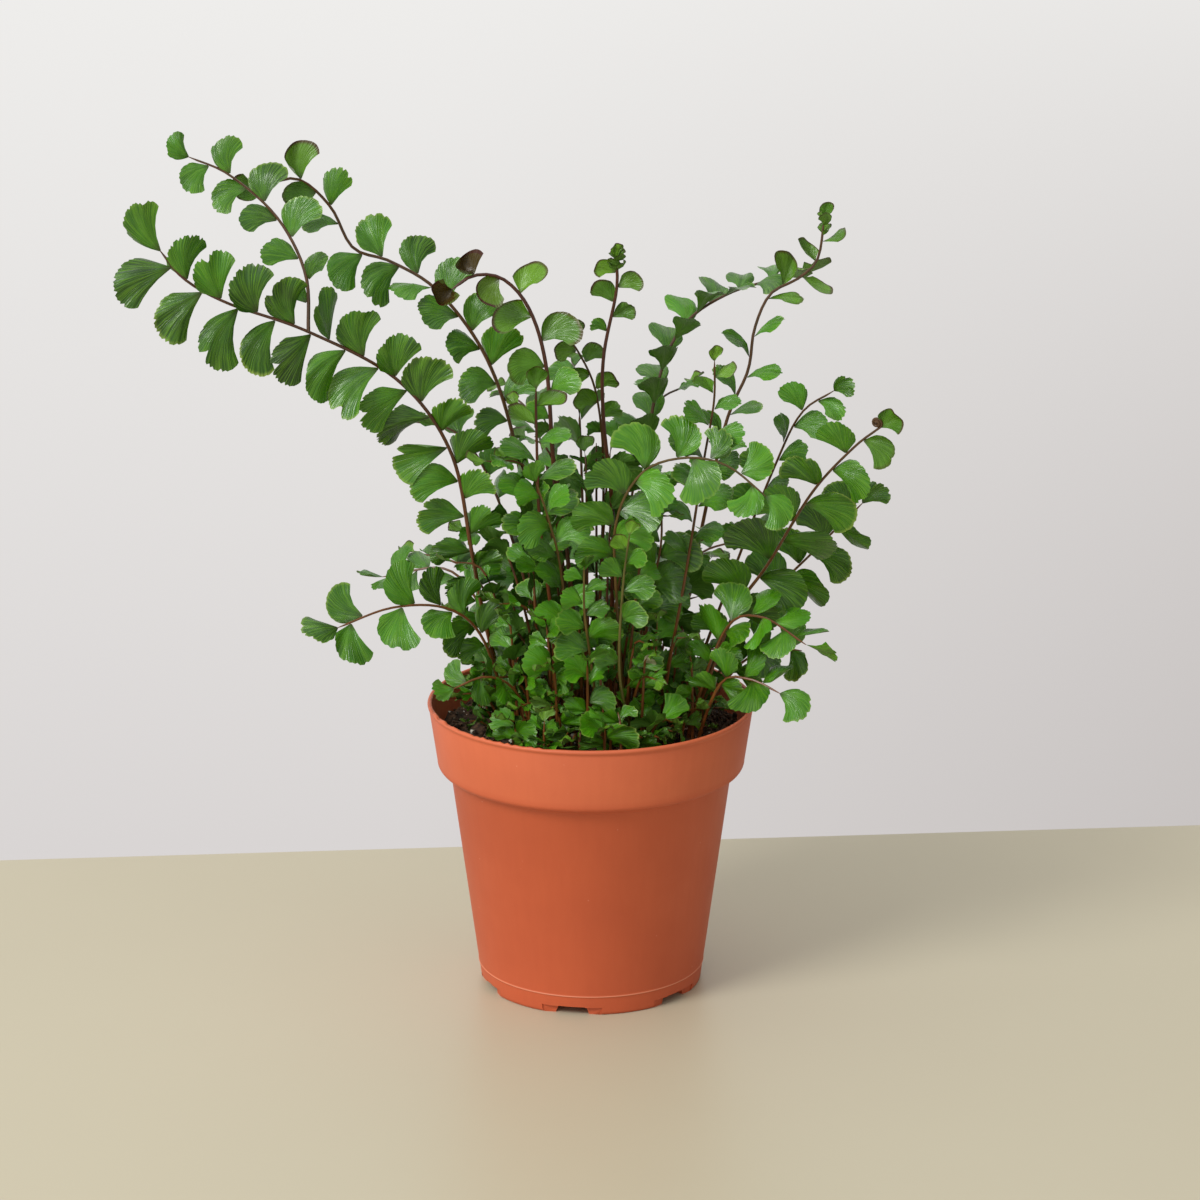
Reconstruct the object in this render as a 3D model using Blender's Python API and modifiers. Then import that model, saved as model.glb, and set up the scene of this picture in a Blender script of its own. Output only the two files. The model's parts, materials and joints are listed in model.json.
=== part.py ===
"""Potted mahogany fern: a young fern with fan-shaped leaflets in a small plastic nursery pot.

Run with: blender --background --python part.py
The pot stands on the ground with the middle of its base at the origin, +Z up, and is seen from -Y.
Sizes in the tables are millimetres, as one would measure the plant, and MM turns them into metres.
"""

import itertools
import math
import random
from typing import NamedTuple

import bmesh
import bpy
import numpy as np
from mathutils import Vector
from mathutils.bvhtree import BVHTree

MM = 0.001

# Pot, a 10.5 cm nursery pot
RIM_RADIUS = 52.5
POT_HEIGHT = 94.5
BAND_FOOT = 75.0
BAND_FOOT_RADIUS = 49.5
BODY_TOP = 71.5
BODY_TOP_RADIUS = 45.3
FOOT_RADIUS = 35.8
WALL = 1.2
FLOOR = 4.2
LIP_PROUD = 0.6
LIP_HEIGHT = 2.4
RIM_ROUND = 0.9
BAND_ROUND = 2.3
PARTING_LINE = 6.5
PARTING_STEP = 0.3
FOOT_BEVEL = 0.6
POT_SIDES = 36
NOTCHES = 6
NOTCH_TURN = math.radians(-100.0)
RECESS_WIDTH = 19.0
RECESS_HEIGHT = 2.6
RECESS_DEPTH = 1.6
CHANNEL_WIDTH = 10.0
CHANNEL_HEIGHT = 2.8
DRAIN_RADIUS = 3.0
DRAIN_AT = 24.0
OVERCUT = 6.0

# Potting soil
SOIL_LEVEL = 84.5
SOIL_MOUND = 2.0
SOIL_BUMPS = 0.9
SOIL_GAP = 0.3
SOIL_RINGS = (8.0, 18.0, 28.0, 38.0, 46.0)
SOIL_SIDES = 22

# Fronds
FOOT_DEPTH = 8.0
FOOT_RISE = 2.0
HOLE_RADIUS = 1.6
RIB_WIDTH = 1.5
RIB_THICKNESS = 1.5
TIP_SHARE = 0.6
HOLE_BELOW_FOOT = 0.4
HOLE_SPACING = 4.0
FORK_BARE = 2.0
BARE_AT_ROOTS = 2.4
LEAST_STIPE = 1.2
LAST_ROOT = 2.0
STIPE_STEP = 20.0
LEAFY_STEP = 8.0
SAMPLES = 12
CLEARANCE = 0.7

# Leaflets: BASAL_SHORT, TIPWARD_SHORT, CUP and SAG are shares of a blade's length
BLADE_THICKNESS = 0.7
ROOT_HALF = 0.8
LARGE_LEAFLET = 14.5
LONGEST_AT = -0.45
BASAL_SHORT = 0.12
TIPWARD_SHORT = 0.5
SCALLOP = 0.92
FAN_SKEW = 4.0
CUP = 0.12
SAG = 0.05
ROOT_SHARE = 0.05
EDGE_ROOM = 0.5
SIZE_VARIES = 0.1
LEAN_VARIES = 9.0
TILT_VARIES = 24.0
LIFT_VARIES = 16.0
MOST_TILT = 75.0
TURNS = (0, 24, -24, 48, -48, 72)
SHRINKS = (1.0, 0.78)


class Frond(NamedTuple):
    """One frond. Its rib rises from foot, on the soil, through the points of line.

    leaf is the length of its largest leaflet, count how many leaflets it has below the one at its
    tip, and bare the share of the rib below the first. face is where the frond's front looks. lean
    is how far the leaflets on the left and on the right point towards the tip, and fan half the
    spread of their blades. tilt is how far the blades on an upright rib are turned to the sky, lift
    how far they rise off the rib, and taper how much smaller the last ones are. on is the name of
    the frond that a fork grows from, wild how much the leaflets' directions vary, first the share of
    the full size that the lowest one has, and right_size how large those on the right are against
    those on the left. Angles are degrees.
    """

    name: str
    foot: tuple
    line: tuple
    leaf: float
    count: int
    bare: float
    face: tuple = (0.0, -1.0, 0.3)
    lean: tuple = (34.0, 34.0)
    fan: tuple = (46.0, 46.0)
    tilt: float = 15.0
    lift: float = 8.0
    taper: float = 0.5
    on: str = ""
    wild: float = 1.0
    first: float = 0.72
    right_size: float = 1.0


# The fronds that stand out one by one, from left to right
NAMED_FRONDS = (
    Frond("left_arch", (-27, 8), ((-34, 5, 119), (-38, 1, 144), (-44, -3, 177), (-60, -10, 202),
          (-87, -17, 219), (-111, -22, 229), (-124, -24, 237), (-131, -25, 246)),
          20.5, 29, 0.16, (0, -1, 0.1), (20, 50), (31, 40), 4, 6, 0.1, wild=0.4, first=0.5,
          right_size=0.82),
    Frond("left_arch_fork", (-86, -17, 219), ((-88, -11, 236), (-97, -3, 252), (-112, 4, 264),
          (-125, 8, 269)),
          13.5, 9, 0.10, (-0.2, -0.8, 0.6), (36, 44), (44, 44), 20, 10, 0.3, on="left_arch", wild=0.8),
    Frond("upper_left", (-17, 15), ((-20, 12, 138), (-24, 11, 175), (-33, 12, 204), (-48, 14, 225),
          (-63, 17, 234), (-75, 19, 238), (-82, 20, 251), (-92, 19, 260), (-103, 17, 258)),
          15.5, 19, 0.45, (0, -0.75, 0.6), (32, 44), (42, 42), 24, 8, 0.3),
    Frond("tall_red", (-6, 5), ((-9, 3, 130), (-12, 0, 175), (-14, 0, 204), (-19, 0, 222),
          (-27, -1, 232), (-36, -4, 234), (-43, -6, 230)),
          13.5, 8, 0.60, (0, -1, 0.2), (26, 26), (46, 46), 40, 10, 0.4),
    Frond("short_red", (-12, -6), ((-12, -8, 120), (-16, -9, 155), (-17, -10, 188), (-17, -12, 200)),
          14.5, 10, 0.46, (0, -1, 0.2), (24, 24), (42, 42), 82, 8, 0.4, wild=0.6),
    Frond("bud_spire", (6, 6), ((7, 6, 150), (4, 6, 185), (4, 5, 206), (8, 5, 227), (8, 4, 238)),
          8.5, 5, 0.84, (0, -1, 0.1), (38, 38), (40, 40), 10, 12, 0.4),
    Frond("curled_tip", (1, 19), ((4, 18, 158), (2, 15, 190), (-4, 12, 206), (-10, 9, 214)),
          8.5, 8, 0.70, (0, -1, 0.3), (36, 36), (44, 44), 20, 12, 0.2),
    Frond("right_arch", (14, 17), ((17, 20, 150), (20, 23, 186), (28, 27, 209), (44, 34, 220),
          (68, 43, 225)),
          15.5, 18, 0.42, (0, 0.1, 1), (34, 34), (36, 36), 80, 4, 0.3, wild=0.6),
    Frond("right_tall", (25, 12), ((35, 16, 144), (43, 18, 181), (50, 20, 198), (52, 22, 211),
          (57, 24, 222), (66, 25, 227), (72, 26, 233), (74, 28, 245)),
          13.5, 14, 0.46, (0, -1, 0.3), (30, 30), (36, 36), 78, 8, 0.5, wild=0.6),
    Frond("front_spire", (21, -9), ((29, -14, 135), (35, -20, 178), (38, -23, 198), (38, -26, 212)),
          14.0, 12, 0.48, (0, -1, 0.2), (26, 26), (42, 42), 82, 8, 0.6, wild=0.6),
    Frond("right_inner", (29, 4), ((46, 3, 138), (58, -1, 172), (66, -4, 190), (76, -7, 198)),
          12.5, 10, 0.50, (0, -1, 0.3), (34, 34), (42, 42), 62, 8, 0.3),
    Frond("right_fan", (33, -4), ((45, -6, 124), (56, -11, 143), (69, -18, 168), (81, -25, 184),
          (89, -30, 192)),
          17.5, 12, 0.26, (0.1, -1, 0.3), (34, 34), (46, 46), 8, 6, 0.5, wild=0.6),
    Frond("right_behind", (36, 20), ((57, 21, 121), (72, 18, 139), (87, 14, 156)),
          14.0, 9, 0.38, (0, -1, 0.4), (34, 34), (46, 46), 14, 8, 0.3),
    Frond("right_low", (31, -13), ((42, -19, 123), (53, -26, 130), (67, -33, 123)),
          14.0, 11, 0.36, (0, -0.7, 1), (34, 34), (44, 44), 6, 6, 0.2),
    Frond("right_rim", (38, 11), ((48, 13, 102), (59, 11, 108), (68, 9, 108)),
          12.0, 8, 0.30, (0, -1, 0.4), (36, 36), (46, 46), 4, 6, 0.1),
    Frond("front_rim", (34, -19), ((41, -25, 108), (50, -31, 111), (59, -36, 108)),
          12.5, 8, 0.42, (0, -1, 0.7), (34, 34), (48, 48), 4, 6, 0.1),
    Frond("left_low", (-26, -5), ((-34, -9, 117), (-45, -14, 129), (-62, -21, 131.5), (-79, -28, 127)),
          14.0, 13, 0.34, (0, -0.9, 0.6), (30, 40), (44, 44), 4, 6, 0.05, wild=0.6),
    Frond("left_shelf", (-25, 17), ((-33, 19, 114), (-46, 23, 131), (-68, 29, 127)),
          12.0, 11, 0.38, (0, -0.5, 1), (34, 34), (42, 42), 10, 6, 0.2),
    Frond("left_soil", (-18, -17), ((-24, -20, 104), (-33, -25, 110), (-43, -28, 107)),
          10.0, 6, 0.36, (0, -0.8, 0.8), (32, 32), (48, 48), 6, 6, 0.2),
    Frond("front_arch", (11, -15), ((8, -23, 136), (8, -26, 161), (16, -28, 177), (29, -29, 182),
          (42, -31, 180), (54, -34, 171)),
          15.5, 14, 0.46, (0, -1, 0.5), (28, 36), (48, 48), 4, 4, 0.3, wild=0.7),
    Frond("front_pale", (-5, -15), ((-9, -19, 140), (-13, -22, 160), (-17, -24, 173)),
          13.5, 9, 0.44, (0, -1, 0.4), (30, 30), (46, 46), 56, 8, 0.4),
    Frond("front_small", (3, -20), ((0, -24, 115), (-2, -27, 132), (-2, -29, 147)),
          11.0, 9, 0.38, (0, -1, 0.5), (30, 30), (46, 46), 46, 8),
    Frond("front_yellow", (13, -24), ((9, -27, 112), (10, -29, 140), (12, -31, 158)),
          10.5, 9, 0.40, (0, -1, 0.5), (30, 30), (46, 46), 50, 8),
    Frond("middle_shade", (18, 0), ((18, -4, 125), (22, -10, 148), (22, -14, 166)),
          14.5, 9, 0.38, (0, -1, 0.5), (32, 32), (46, 46), 52, 8, 0.4),
)


class Ring(NamedTuple):
    """A ring of fronds round the pot, that a rule places: feet on a circle, tips further out.

    turn is the bearing of the first frond and step the angle to the next, in degrees from +X. foot
    holds the distances of every other foot from the pot's axis, reach the least and the most of the
    tips' distance from it, and rise the least and the most of their height above the soil.
    """

    name: str
    fronds: int
    turn: float
    step: float
    foot: tuple
    reach: tuple
    rise: tuple
    leaf: float
    count: int
    bare: float
    tilt: float


RINGS = (
    Ring("back_low", 5, 42, 25, (26, 32), (62, 82), (34, 60), 12.5, 8, 0.34, 14),
    Ring("back_high", 4, 52, 32, (12, 16), (46, 72), (84, 116), 13.0, 8, 0.46, 52),
    Ring("front_tuft", 5, 208, 30, (27, 23), (29, 38), (32, 54), 10.5, 7, 0.34, 30),
    Ring("skirt", 12, 205, 24, (30, 35), (38, 44), (12, 22), 10.5, 4, 0.20, 16),
)
NUDGES = (0, 3, -3, 6, -6, 9, -9, 12, -12)

# How far out and how high a ring's rib passes, as shares of the way from its foot to its tip
RING_LINE = ((0.15, 0.52), (0.5, 0.94), (1.0, 1.0))


def height_of_soil(x, y):
    """Soil height in mm: a low mound with bumps made of crossed waves."""
    mound = SOIL_MOUND * (1.0 - (x * x + y * y) / BAND_FOOT_RADIUS**2)
    waves = (
        math.sin(0.31 * x + 0.17 * y)
        + math.sin(0.23 * y - 0.36 * x + 1.7)
        + math.sin(0.52 * y + 0.6)
    )
    return SOIL_LEVEL + mound + SOIL_BUMPS * waves / 3.0


def ring_frond(ring, i, nudge):
    """Frond number i of a ring, moved nudge degrees round the pot, with its own draw of a size."""
    draw = random.Random(f"{ring.name}_{i}")
    bearing = math.radians(ring.turn + ring.step * i + nudge)
    out = Vector((math.cos(bearing), math.sin(bearing)))
    foot = out * ring.foot[i % 2]
    tip = out * draw.uniform(*ring.reach)
    rise = draw.uniform(*ring.rise)
    line = [
        (*foot.lerp(tip, out_share), SOIL_LEVEL + up_share * rise) for out_share, up_share in RING_LINE
    ]
    face = (0.5 * out.x, 0.5 * out.y, 1.0)
    name = f"{ring.name}_{i + 1}"
    return Frond(name, tuple(foot), tuple(line), ring.leaf, ring.count, ring.bare, face, tilt=ring.tilt)


def rib_points(frond):
    """The rib as close-set points, in mm: straight up out of the soil, then a Catmull-Rom curve.

    A fork starts in the rib that it grows on, at the point nearest to its foot.
    """
    if frond.on:
        stem = rib_points(next(other for other in NAMED_FRONDS if other.name == frond.on))
        start = Vector(min(stem, key=lambda point: np.linalg.norm(point - np.array(frond.foot))))
        below = start - (Vector(frond.line[0]) - start) * 0.5
    else:
        start = Vector((*frond.foot, height_of_soil(*frond.foot) + FOOT_RISE))
        below = start - Vector((0.0, 0.0, FOOT_DEPTH + FOOT_RISE))
    knots = np.array([below, start, *frond.line, frond.line[-1]], float)
    knots[-1] += knots[-2] - knots[-3]
    t = (np.arange(SAMPLES) / SAMPLES)[:, None]
    points = [] if frond.on else [knots[:1]]
    for a, b, c, d in zip(knots, knots[1:], knots[2:], knots[3:]):
        bend = 2 * a - 5 * b + 4 * c - d + t * (3 * (b - c) + d - a)
        points.append(b + 0.5 * t * (c - a + t * bend))
    return np.vstack([*points, knots[-2:-1]])


class Rib:
    """A frond's rib, read by the distance along it from its lower end."""

    def __init__(self, frond):
        self.points = rib_points(frond)
        steps = np.linalg.norm(np.diff(self.points, axis=0), axis=1)
        self.distances = np.concatenate([[0.0], np.cumsum(steps)])
        self.length = float(self.distances[-1])
        self.face = Vector(frond.face).normalized()
        foot_length = FORK_BARE if frond.on else FOOT_DEPTH + FOOT_RISE
        self.bare_length = foot_length + (self.length - foot_length) * frond.bare
        bare_end = max(self.bare_length - BARE_AT_ROOTS, foot_length + LEAST_STIPE)
        bends = max(1, round((bare_end - foot_length) / STIPE_STEP))
        self.stipe = [0.0, *np.linspace(foot_length, bare_end, bends + 1)]

    def point(self, s):
        return Vector([np.interp(s, self.distances, self.points[:, k]) for k in range(3)])

    def axes(self, s):
        """(along, right, face) at distance s: along the rib, to its right, and where the blades look."""
        along = (self.point(min(s + 2.0, self.length)) - self.point(max(s - 2.0, 0.0))).normalized()
        right = along.cross(self.face).normalized()
        return along, right, right.cross(along)

    def half_width(self, s):
        return 0.5 * RIB_WIDTH * (1.0 - (1.0 - TIP_SHARE) * s / self.length)

    def edge(self, s, side):
        """The point on the rib's left edge, with side -1, or on its right edge, with side 1."""
        return self.point(s) + self.axes(s)[1] * side * self.half_width(s)


class Leaflet(NamedTuple):
    """A fan-shaped blade: where it leaves the rib, its side of it, and the rim of its blade."""

    s: float
    side: int
    rim: tuple
    root: Vector
    face: Vector


def fan_reach(t):
    """How far a blade reaches at t, from -1 at its edge towards the foot to 1 at its edge towards the
    tip: 1 at LONGEST_AT, and less by a square on each side."""
    if t < LONGEST_AT:
        return 1.0 - BASAL_SHORT * ((LONGEST_AT - t) / (1.0 + LONGEST_AT)) ** 2
    return 1.0 - TIPWARD_SHORT * ((t - LONGEST_AT) / (1.0 - LONGEST_AT)) ** 2


def blade_rim(root, out, up, face, size, fan):
    """Points round a lopsided fan: a wedge from its root, whose rounded and scalloped edge bends away
    from its face at both sides."""
    lobes = 7 if size > LARGE_LEAFLET else 5
    for k in range(lobes):
        t = 2.0 * k / (lobes - 1) - 1.0
        scallop = 1.0 if k % 2 else SCALLOP
        radius = size * scallop * fan_reach(t)
        angle = math.radians(fan * t + FAN_SKEW)
        drop = size * (CUP * t * t + SAG)
        yield root + radius * (math.cos(angle) * out + math.sin(angle) * up) - drop * face


def swing(a, b, angle):
    """Two directions at right angles, turned in their plane: a towards b, and b away from a."""
    return a * math.cos(angle) + b * math.sin(angle), b * math.cos(angle) - a * math.sin(angle)


def leaflet(frond, rib, i, draw, shrink, turn):
    """The frond's leaflet number i, counted from below, made smaller by shrink, and turned by turn
    degrees about its middle."""
    share = i / frond.count
    at_tip = i == frond.count
    s = rib.bare_length + (rib.length - rib.bare_length) * share
    s = rib.length if at_tip else min(s, rib.length - LAST_ROOT)
    side = 0 if at_tip else (1 if i % 2 else -1)
    size = frond.leaf * min(1.0, frond.first + share) * (1.0 - frond.taper * share**3)
    size *= (1.0 + draw["size"]) * shrink * (frond.right_size if side > 0 else 1.0)
    along, right, face = rib.axes(s)
    lean = math.radians(90.0 if at_tip else frond.lean[side > 0] + draw["lean"])
    outward = right * (side or 1)
    out = outward * math.cos(lean) + along * math.sin(lean)
    up = along * math.cos(lean) - outward * math.sin(lean)
    tilt = (0.0 if at_tip else frond.tilt * max(along.z, 0.0)) + draw["tilt"] + turn
    face, up = swing(face, up, math.radians(max(-MOST_TILT, min(MOST_TILT, tilt))))
    lift = math.radians(frond.lift + draw["lift"])
    out, face = swing(out, face, lift)
    root = rib.edge(s, side)
    return Leaflet(s, side, tuple(blade_rim(root, out, up, face, size, frond.fan[side > 0])), root, face)


def draws_for(frond):
    """Small differences between the leaflets of a frond, the same on every run."""
    draw = random.Random(frond.name)
    most = {"size": SIZE_VARIES, "lean": LEAN_VARIES, "tilt": TILT_VARIES, "lift": LIFT_VARIES}
    most = {k: v if k == "size" else v * frond.wild for k, v in most.items()}
    return [{k: draw.uniform(-v, v) for k, v in most.items()} for _ in range(frond.count + 1)]


class Body(NamedTuple):
    """Something that a leaflet keeps clear of: a ball round it, and its faces."""

    owner: str
    centre: Vector
    reach: float
    tree: BVHTree


def body_of(owner, points, faces):
    centre = sum(points, Vector()) / len(points)
    reach = max((p - centre).length for p in points)
    return Body(owner, centre, reach, BVHTree.FromPolygons(points, faces))


def prism_body(owner, outline, normal, half):
    """A flat body round an outline, half thick on each side of it."""
    n = len(outline)
    points = [p + normal * half for p in outline] + [p - normal * half for p in outline]
    faces = [(0, k, k + 1) for k in range(1, n - 1)]
    faces += [(n, n + k + 1, n + k) for k in range(1, n - 1)]
    faces += [(k, k + n, (k + 1) % n + n, (k + 1) % n) for k in range(n)]
    return body_of(owner, points, faces)


def leaflet_body(owner, leaf):
    """The blade without its root, where it meets its own rib, and EDGE_ROOM wider all round."""
    base = leaf.root.lerp(sum(leaf.rim, Vector()) / len(leaf.rim), ROOT_SHARE)
    rim = [point + (point - leaf.root).normalized() * EDGE_ROOM for point in leaf.rim]
    return prism_body(owner, (base, *rim), leaf.face, 0.5 * (BLADE_THICKNESS + CLEARANCE))


def rib_bodies(frond, rib):
    """The rib as a row of short flat bodies, with the clearance round them."""
    leafy = rib.length - rib.stipe[-1]
    stations = [*rib.stipe, *np.linspace(rib.stipe[-1], rib.length, round(leafy / LEAFY_STEP) + 2)[1:]]
    half = 0.5 * (RIB_THICKNESS + CLEARANCE)
    for s0, s1 in zip(stations, stations[1:]):
        right = rib.axes(0.5 * (s0 + s1))[1] * half
        a, b = rib.point(s0), rib.point(s1)
        yield prism_body(frond.name, (a - right, b - right, b + right, a + right), rib.axes(s0)[2], half)


def is_clear(body, others):
    for other in others:
        near = (other.centre - body.centre).length < other.reach + body.reach
        if near and body.tree.overlap(other.tree):
            return False
    return True


def all_fronds():
    """The named fronds, then those of the rings. One of a ring is nudged round the pot until its rib
    and its foot's hole are clear of the rest, and left out if no nudge helps."""
    fronds = list(NAMED_FRONDS)
    bodies = [body for frond in fronds for body in rib_bodies(frond, Rib(frond))]
    for ring in RINGS:
        for i in range(ring.fronds):
            for nudge in NUDGES:
                frond = ring_frond(ring, i, nudge)
                gap = min(math.dist(frond.foot, other.foot[:2]) for other in fronds)
                ribs = list(rib_bodies(frond, Rib(frond)))
                if gap > HOLE_SPACING and all(is_clear(body, bodies) for body in ribs):
                    fronds.append(frond)
                    bodies += ribs
                    break
    return fronds


FRONDS = all_fronds()


def grow(fixed):
    """Every frond with its rib and its leaflets. A leaflet that would cross another piece is turned
    about its middle, and made smaller, until it is clear, and left out if neither helps."""
    ribs = {frond.name: Rib(frond) for frond in FRONDS}
    bodies = list(fixed)
    for frond in FRONDS:
        bodies += rib_bodies(frond, ribs[frond.name])
    grown = {}
    for frond in FRONDS:
        others = [body for body in bodies if body.owner != frond.name]
        leaflets = []
        for i, draw in enumerate(draws_for(frond)):
            for shrink, turn in itertools.product(SHRINKS, TURNS):
                leaf = leaflet(frond, ribs[frond.name], i, draw, shrink, turn)
                body = leaflet_body(frond.name, leaf)
                if is_clear(body, others):
                    leaflets.append(leaf)
                    others.append(body)
                    bodies.append(body)
                    break
        grown[frond.name] = (ribs[frond.name], leaflets)
    return grown


def edge_chain(rib, leaflets, side):
    """Distances along one edge of the rib: the stipe's, and two at the root of each leaflet there."""
    roots = [(leaf.s - ROOT_HALF, leaf.s + ROOT_HALF) for leaf in leaflets if leaf.side == side]
    return sorted([*rib.stipe, *(s for root in roots for s in root), rib.length])


def zip_edges(bm, left, right):
    """Fills the strip between two edges with triangles, always stepping up the edge that lags."""
    i = j = 0
    while i < len(left) - 1 or j < len(right) - 1:
        step_left = j == len(right) - 1 or (i < len(left) - 1 and left[i + 1][0] <= right[j + 1][0])
        corners = (left[i][1], right[j][1], left[i + 1][1] if step_left else right[j + 1][1])
        bm.faces.new(corners)
        if step_left:
            i += 1
        else:
            j += 1


def add_blade(bm, root_low, root_high, leaf, weigh):
    """The leaflet's blade, as triangles that share one corner of its root."""
    rim = [bm.verts.new(point * MM) for point in leaf.rim]
    for vertex in rim:
        weigh(vertex, BLADE_THICKNESS / RIB_THICKNESS)
    middle = len(rim) // 2
    for a, b in zip(rim[:middle], rim[1:]):
        bm.faces.new((root_low, a, b))
    bm.faces.new((root_low, rim[middle], root_high))
    for a, b in zip(rim[middle:], rim[middle + 1 :]):
        bm.faces.new((root_high, a, b))


def frond_mesh(name, rib, leaflets):
    """A frond as one open sheet cut to the rib: the rib's strip, with a blade at each leaflet's root."""
    bm = bmesh.new()
    weights = bm.verts.layers.deform.verify()

    def weigh(vertex, weight):
        vertex[weights][0] = weight

    edges = {}
    for side in (-1, 1):
        edges[side] = []
        for s in edge_chain(rib, leaflets, side):
            vertex = bm.verts.new(rib.edge(s, side) * MM)
            weigh(vertex, 2.0 * rib.half_width(s) / RIB_WIDTH)
            edges[side].append((s, vertex))
    zip_edges(bm, edges[-1], edges[1])
    for leaf in leaflets:
        if leaf.side:
            low, high = (v for s, v in edges[leaf.side] if abs(abs(s - leaf.s) - ROOT_HALF) < 1e-6)
        else:
            low, high = edges[1][-1][1], edges[-1][-1][1]
        add_blade(bm, low, high, leaf, weigh)
    bmesh.ops.recalc_face_normals(bm, faces=bm.faces[:])
    mesh = bpy.data.meshes.new(name)
    bm.to_mesh(mesh)
    bm.free()
    return mesh


def add_object(name, mesh, collection, material=None):
    obj = bpy.data.objects.new(name, mesh)
    collection.objects.link(obj)
    if material:
        mesh.materials.append(material)
    return obj


def thicken(obj):
    """Gives a frond's sheet its thickness: the rib's at the rib, and the thin blade's at the rims."""
    obj.vertex_groups.new(name="thickness")
    solidify = obj.modifiers.new("Thickness", "SOLIDIFY")
    solidify.thickness = RIB_THICKNESS * MM
    solidify.offset = 0.0
    solidify.vertex_group = "thickness"
    solidify.use_rim = True


def make_material(name, colour, roughness):
    material = bpy.data.materials.new(name)
    material.use_nodes = True
    shader = material.node_tree.nodes["Principled BSDF"]
    shader.inputs["Base Color"].default_value = (*colour, 1.0)
    shader.inputs["Roughness"].default_value = roughness
    shader.inputs["Metallic"].default_value = 0.0
    return material


def new_collection(name, parent):
    collection = bpy.data.collections.new(name)
    parent.children.link(collection)
    return collection


def pot_profile():
    """(radius, height) in mm: down the outside from the rim to the base, and up the inside."""
    slope = (BODY_TOP_RADIUS - FOOT_RADIUS) / BODY_TOP
    line_radius = FOOT_RADIUS + slope * PARTING_LINE
    outside = [
        (RIM_RADIUS - RIM_ROUND, POT_HEIGHT),
        (RIM_RADIUS, POT_HEIGHT - RIM_ROUND),
        (RIM_RADIUS - LIP_PROUD, POT_HEIGHT - LIP_HEIGHT),
        (BAND_FOOT_RADIUS, BAND_FOOT),
        (BAND_FOOT_RADIUS - 0.3 * BAND_ROUND, BAND_FOOT - 0.6 * BAND_ROUND),
        (BAND_FOOT_RADIUS - BAND_ROUND, BAND_FOOT - BAND_ROUND),
        (BODY_TOP_RADIUS + 0.6, BODY_TOP + 0.9),
        (BODY_TOP_RADIUS, BODY_TOP),
        (line_radius, PARTING_LINE),
        (line_radius - PARTING_STEP, PARTING_LINE - PARTING_STEP),
        (FOOT_RADIUS, FOOT_BEVEL),
        (FOOT_RADIUS - FOOT_BEVEL, 0.0),
        (0.0, 0.0),
    ]
    inside = [
        (0.0, FLOOR),
        (FOOT_RADIUS + slope * FLOOR - WALL, FLOOR),
        (BODY_TOP_RADIUS - WALL, BODY_TOP),
        (BAND_FOOT_RADIUS - WALL, BAND_FOOT),
        (RIM_RADIUS - LIP_PROUD - WALL, POT_HEIGHT - RIM_ROUND),
    ]
    return outside, inside


def turned(name, profile, sides, collection, material):
    """A shape turned round the Z axis from (radius, height) points in mm. The profile closes itself."""
    mesh = bpy.data.meshes.new(name)
    points = [(r * MM, 0.0, z * MM) for r, z in profile]
    edges = [(k, k + 1) for k in range(len(points) - 1)]
    if profile[0][0] > 0.0:
        edges.append((len(points) - 1, 0))
    mesh.from_pydata(points, edges, [])
    obj = add_object(name, mesh, collection, material)
    screw = obj.modifiers.new("Turn", "SCREW")
    screw.axis = "Z"
    screw.steps = screw.render_steps = sides
    screw.use_merge_vertices = True
    screw.merge_threshold = 0.00005
    return obj


def cut(obj, cutters):
    """Takes every cutter in a collection out of obj."""
    boolean = obj.modifiers.new("Cut", "BOOLEAN")
    boolean.operation = "DIFFERENCE"
    boolean.operand_type = "COLLECTION"
    boolean.collection = cutters
    boolean.solver = "EXACT"


def hide_cutter(obj):
    obj.hide_render = True
    obj.display_type = "WIRE"


def add_cutter_box(name, size, place, turn, collection):
    """A box of size mm whose middle is at place mm before the whole is turned about the Z axis."""
    bm = bmesh.new()
    bmesh.ops.create_cube(bm, size=1.0)
    bmesh.ops.scale(bm, vec=Vector(size) * MM, verts=bm.verts)
    bmesh.ops.translate(bm, vec=Vector(place) * MM, verts=bm.verts)
    mesh = bpy.data.meshes.new(name)
    bm.to_mesh(mesh)
    bm.free()
    obj = add_object(name, mesh, collection)
    obj.rotation_euler.z = turn
    hide_cutter(obj)


def add_cutter_rod(name, radius, sides, bottom, top, place, turn, collection):
    """An upright rod from bottom to top, in mm, at place mm before the whole is turned."""
    bm = bmesh.new()
    bmesh.ops.create_cone(bm, cap_ends=True, segments=sides, radius1=radius * MM, radius2=radius * MM,
                          depth=(top - bottom) * MM)
    bmesh.ops.translate(bm, vec=Vector((*place, 0.5 * (top + bottom))) * MM, verts=bm.verts)
    mesh = bpy.data.meshes.new(name)
    bm.to_mesh(mesh)
    bm.free()
    obj = add_object(name, mesh, collection)
    obj.rotation_euler.z = turn
    hide_cutter(obj)


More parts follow.
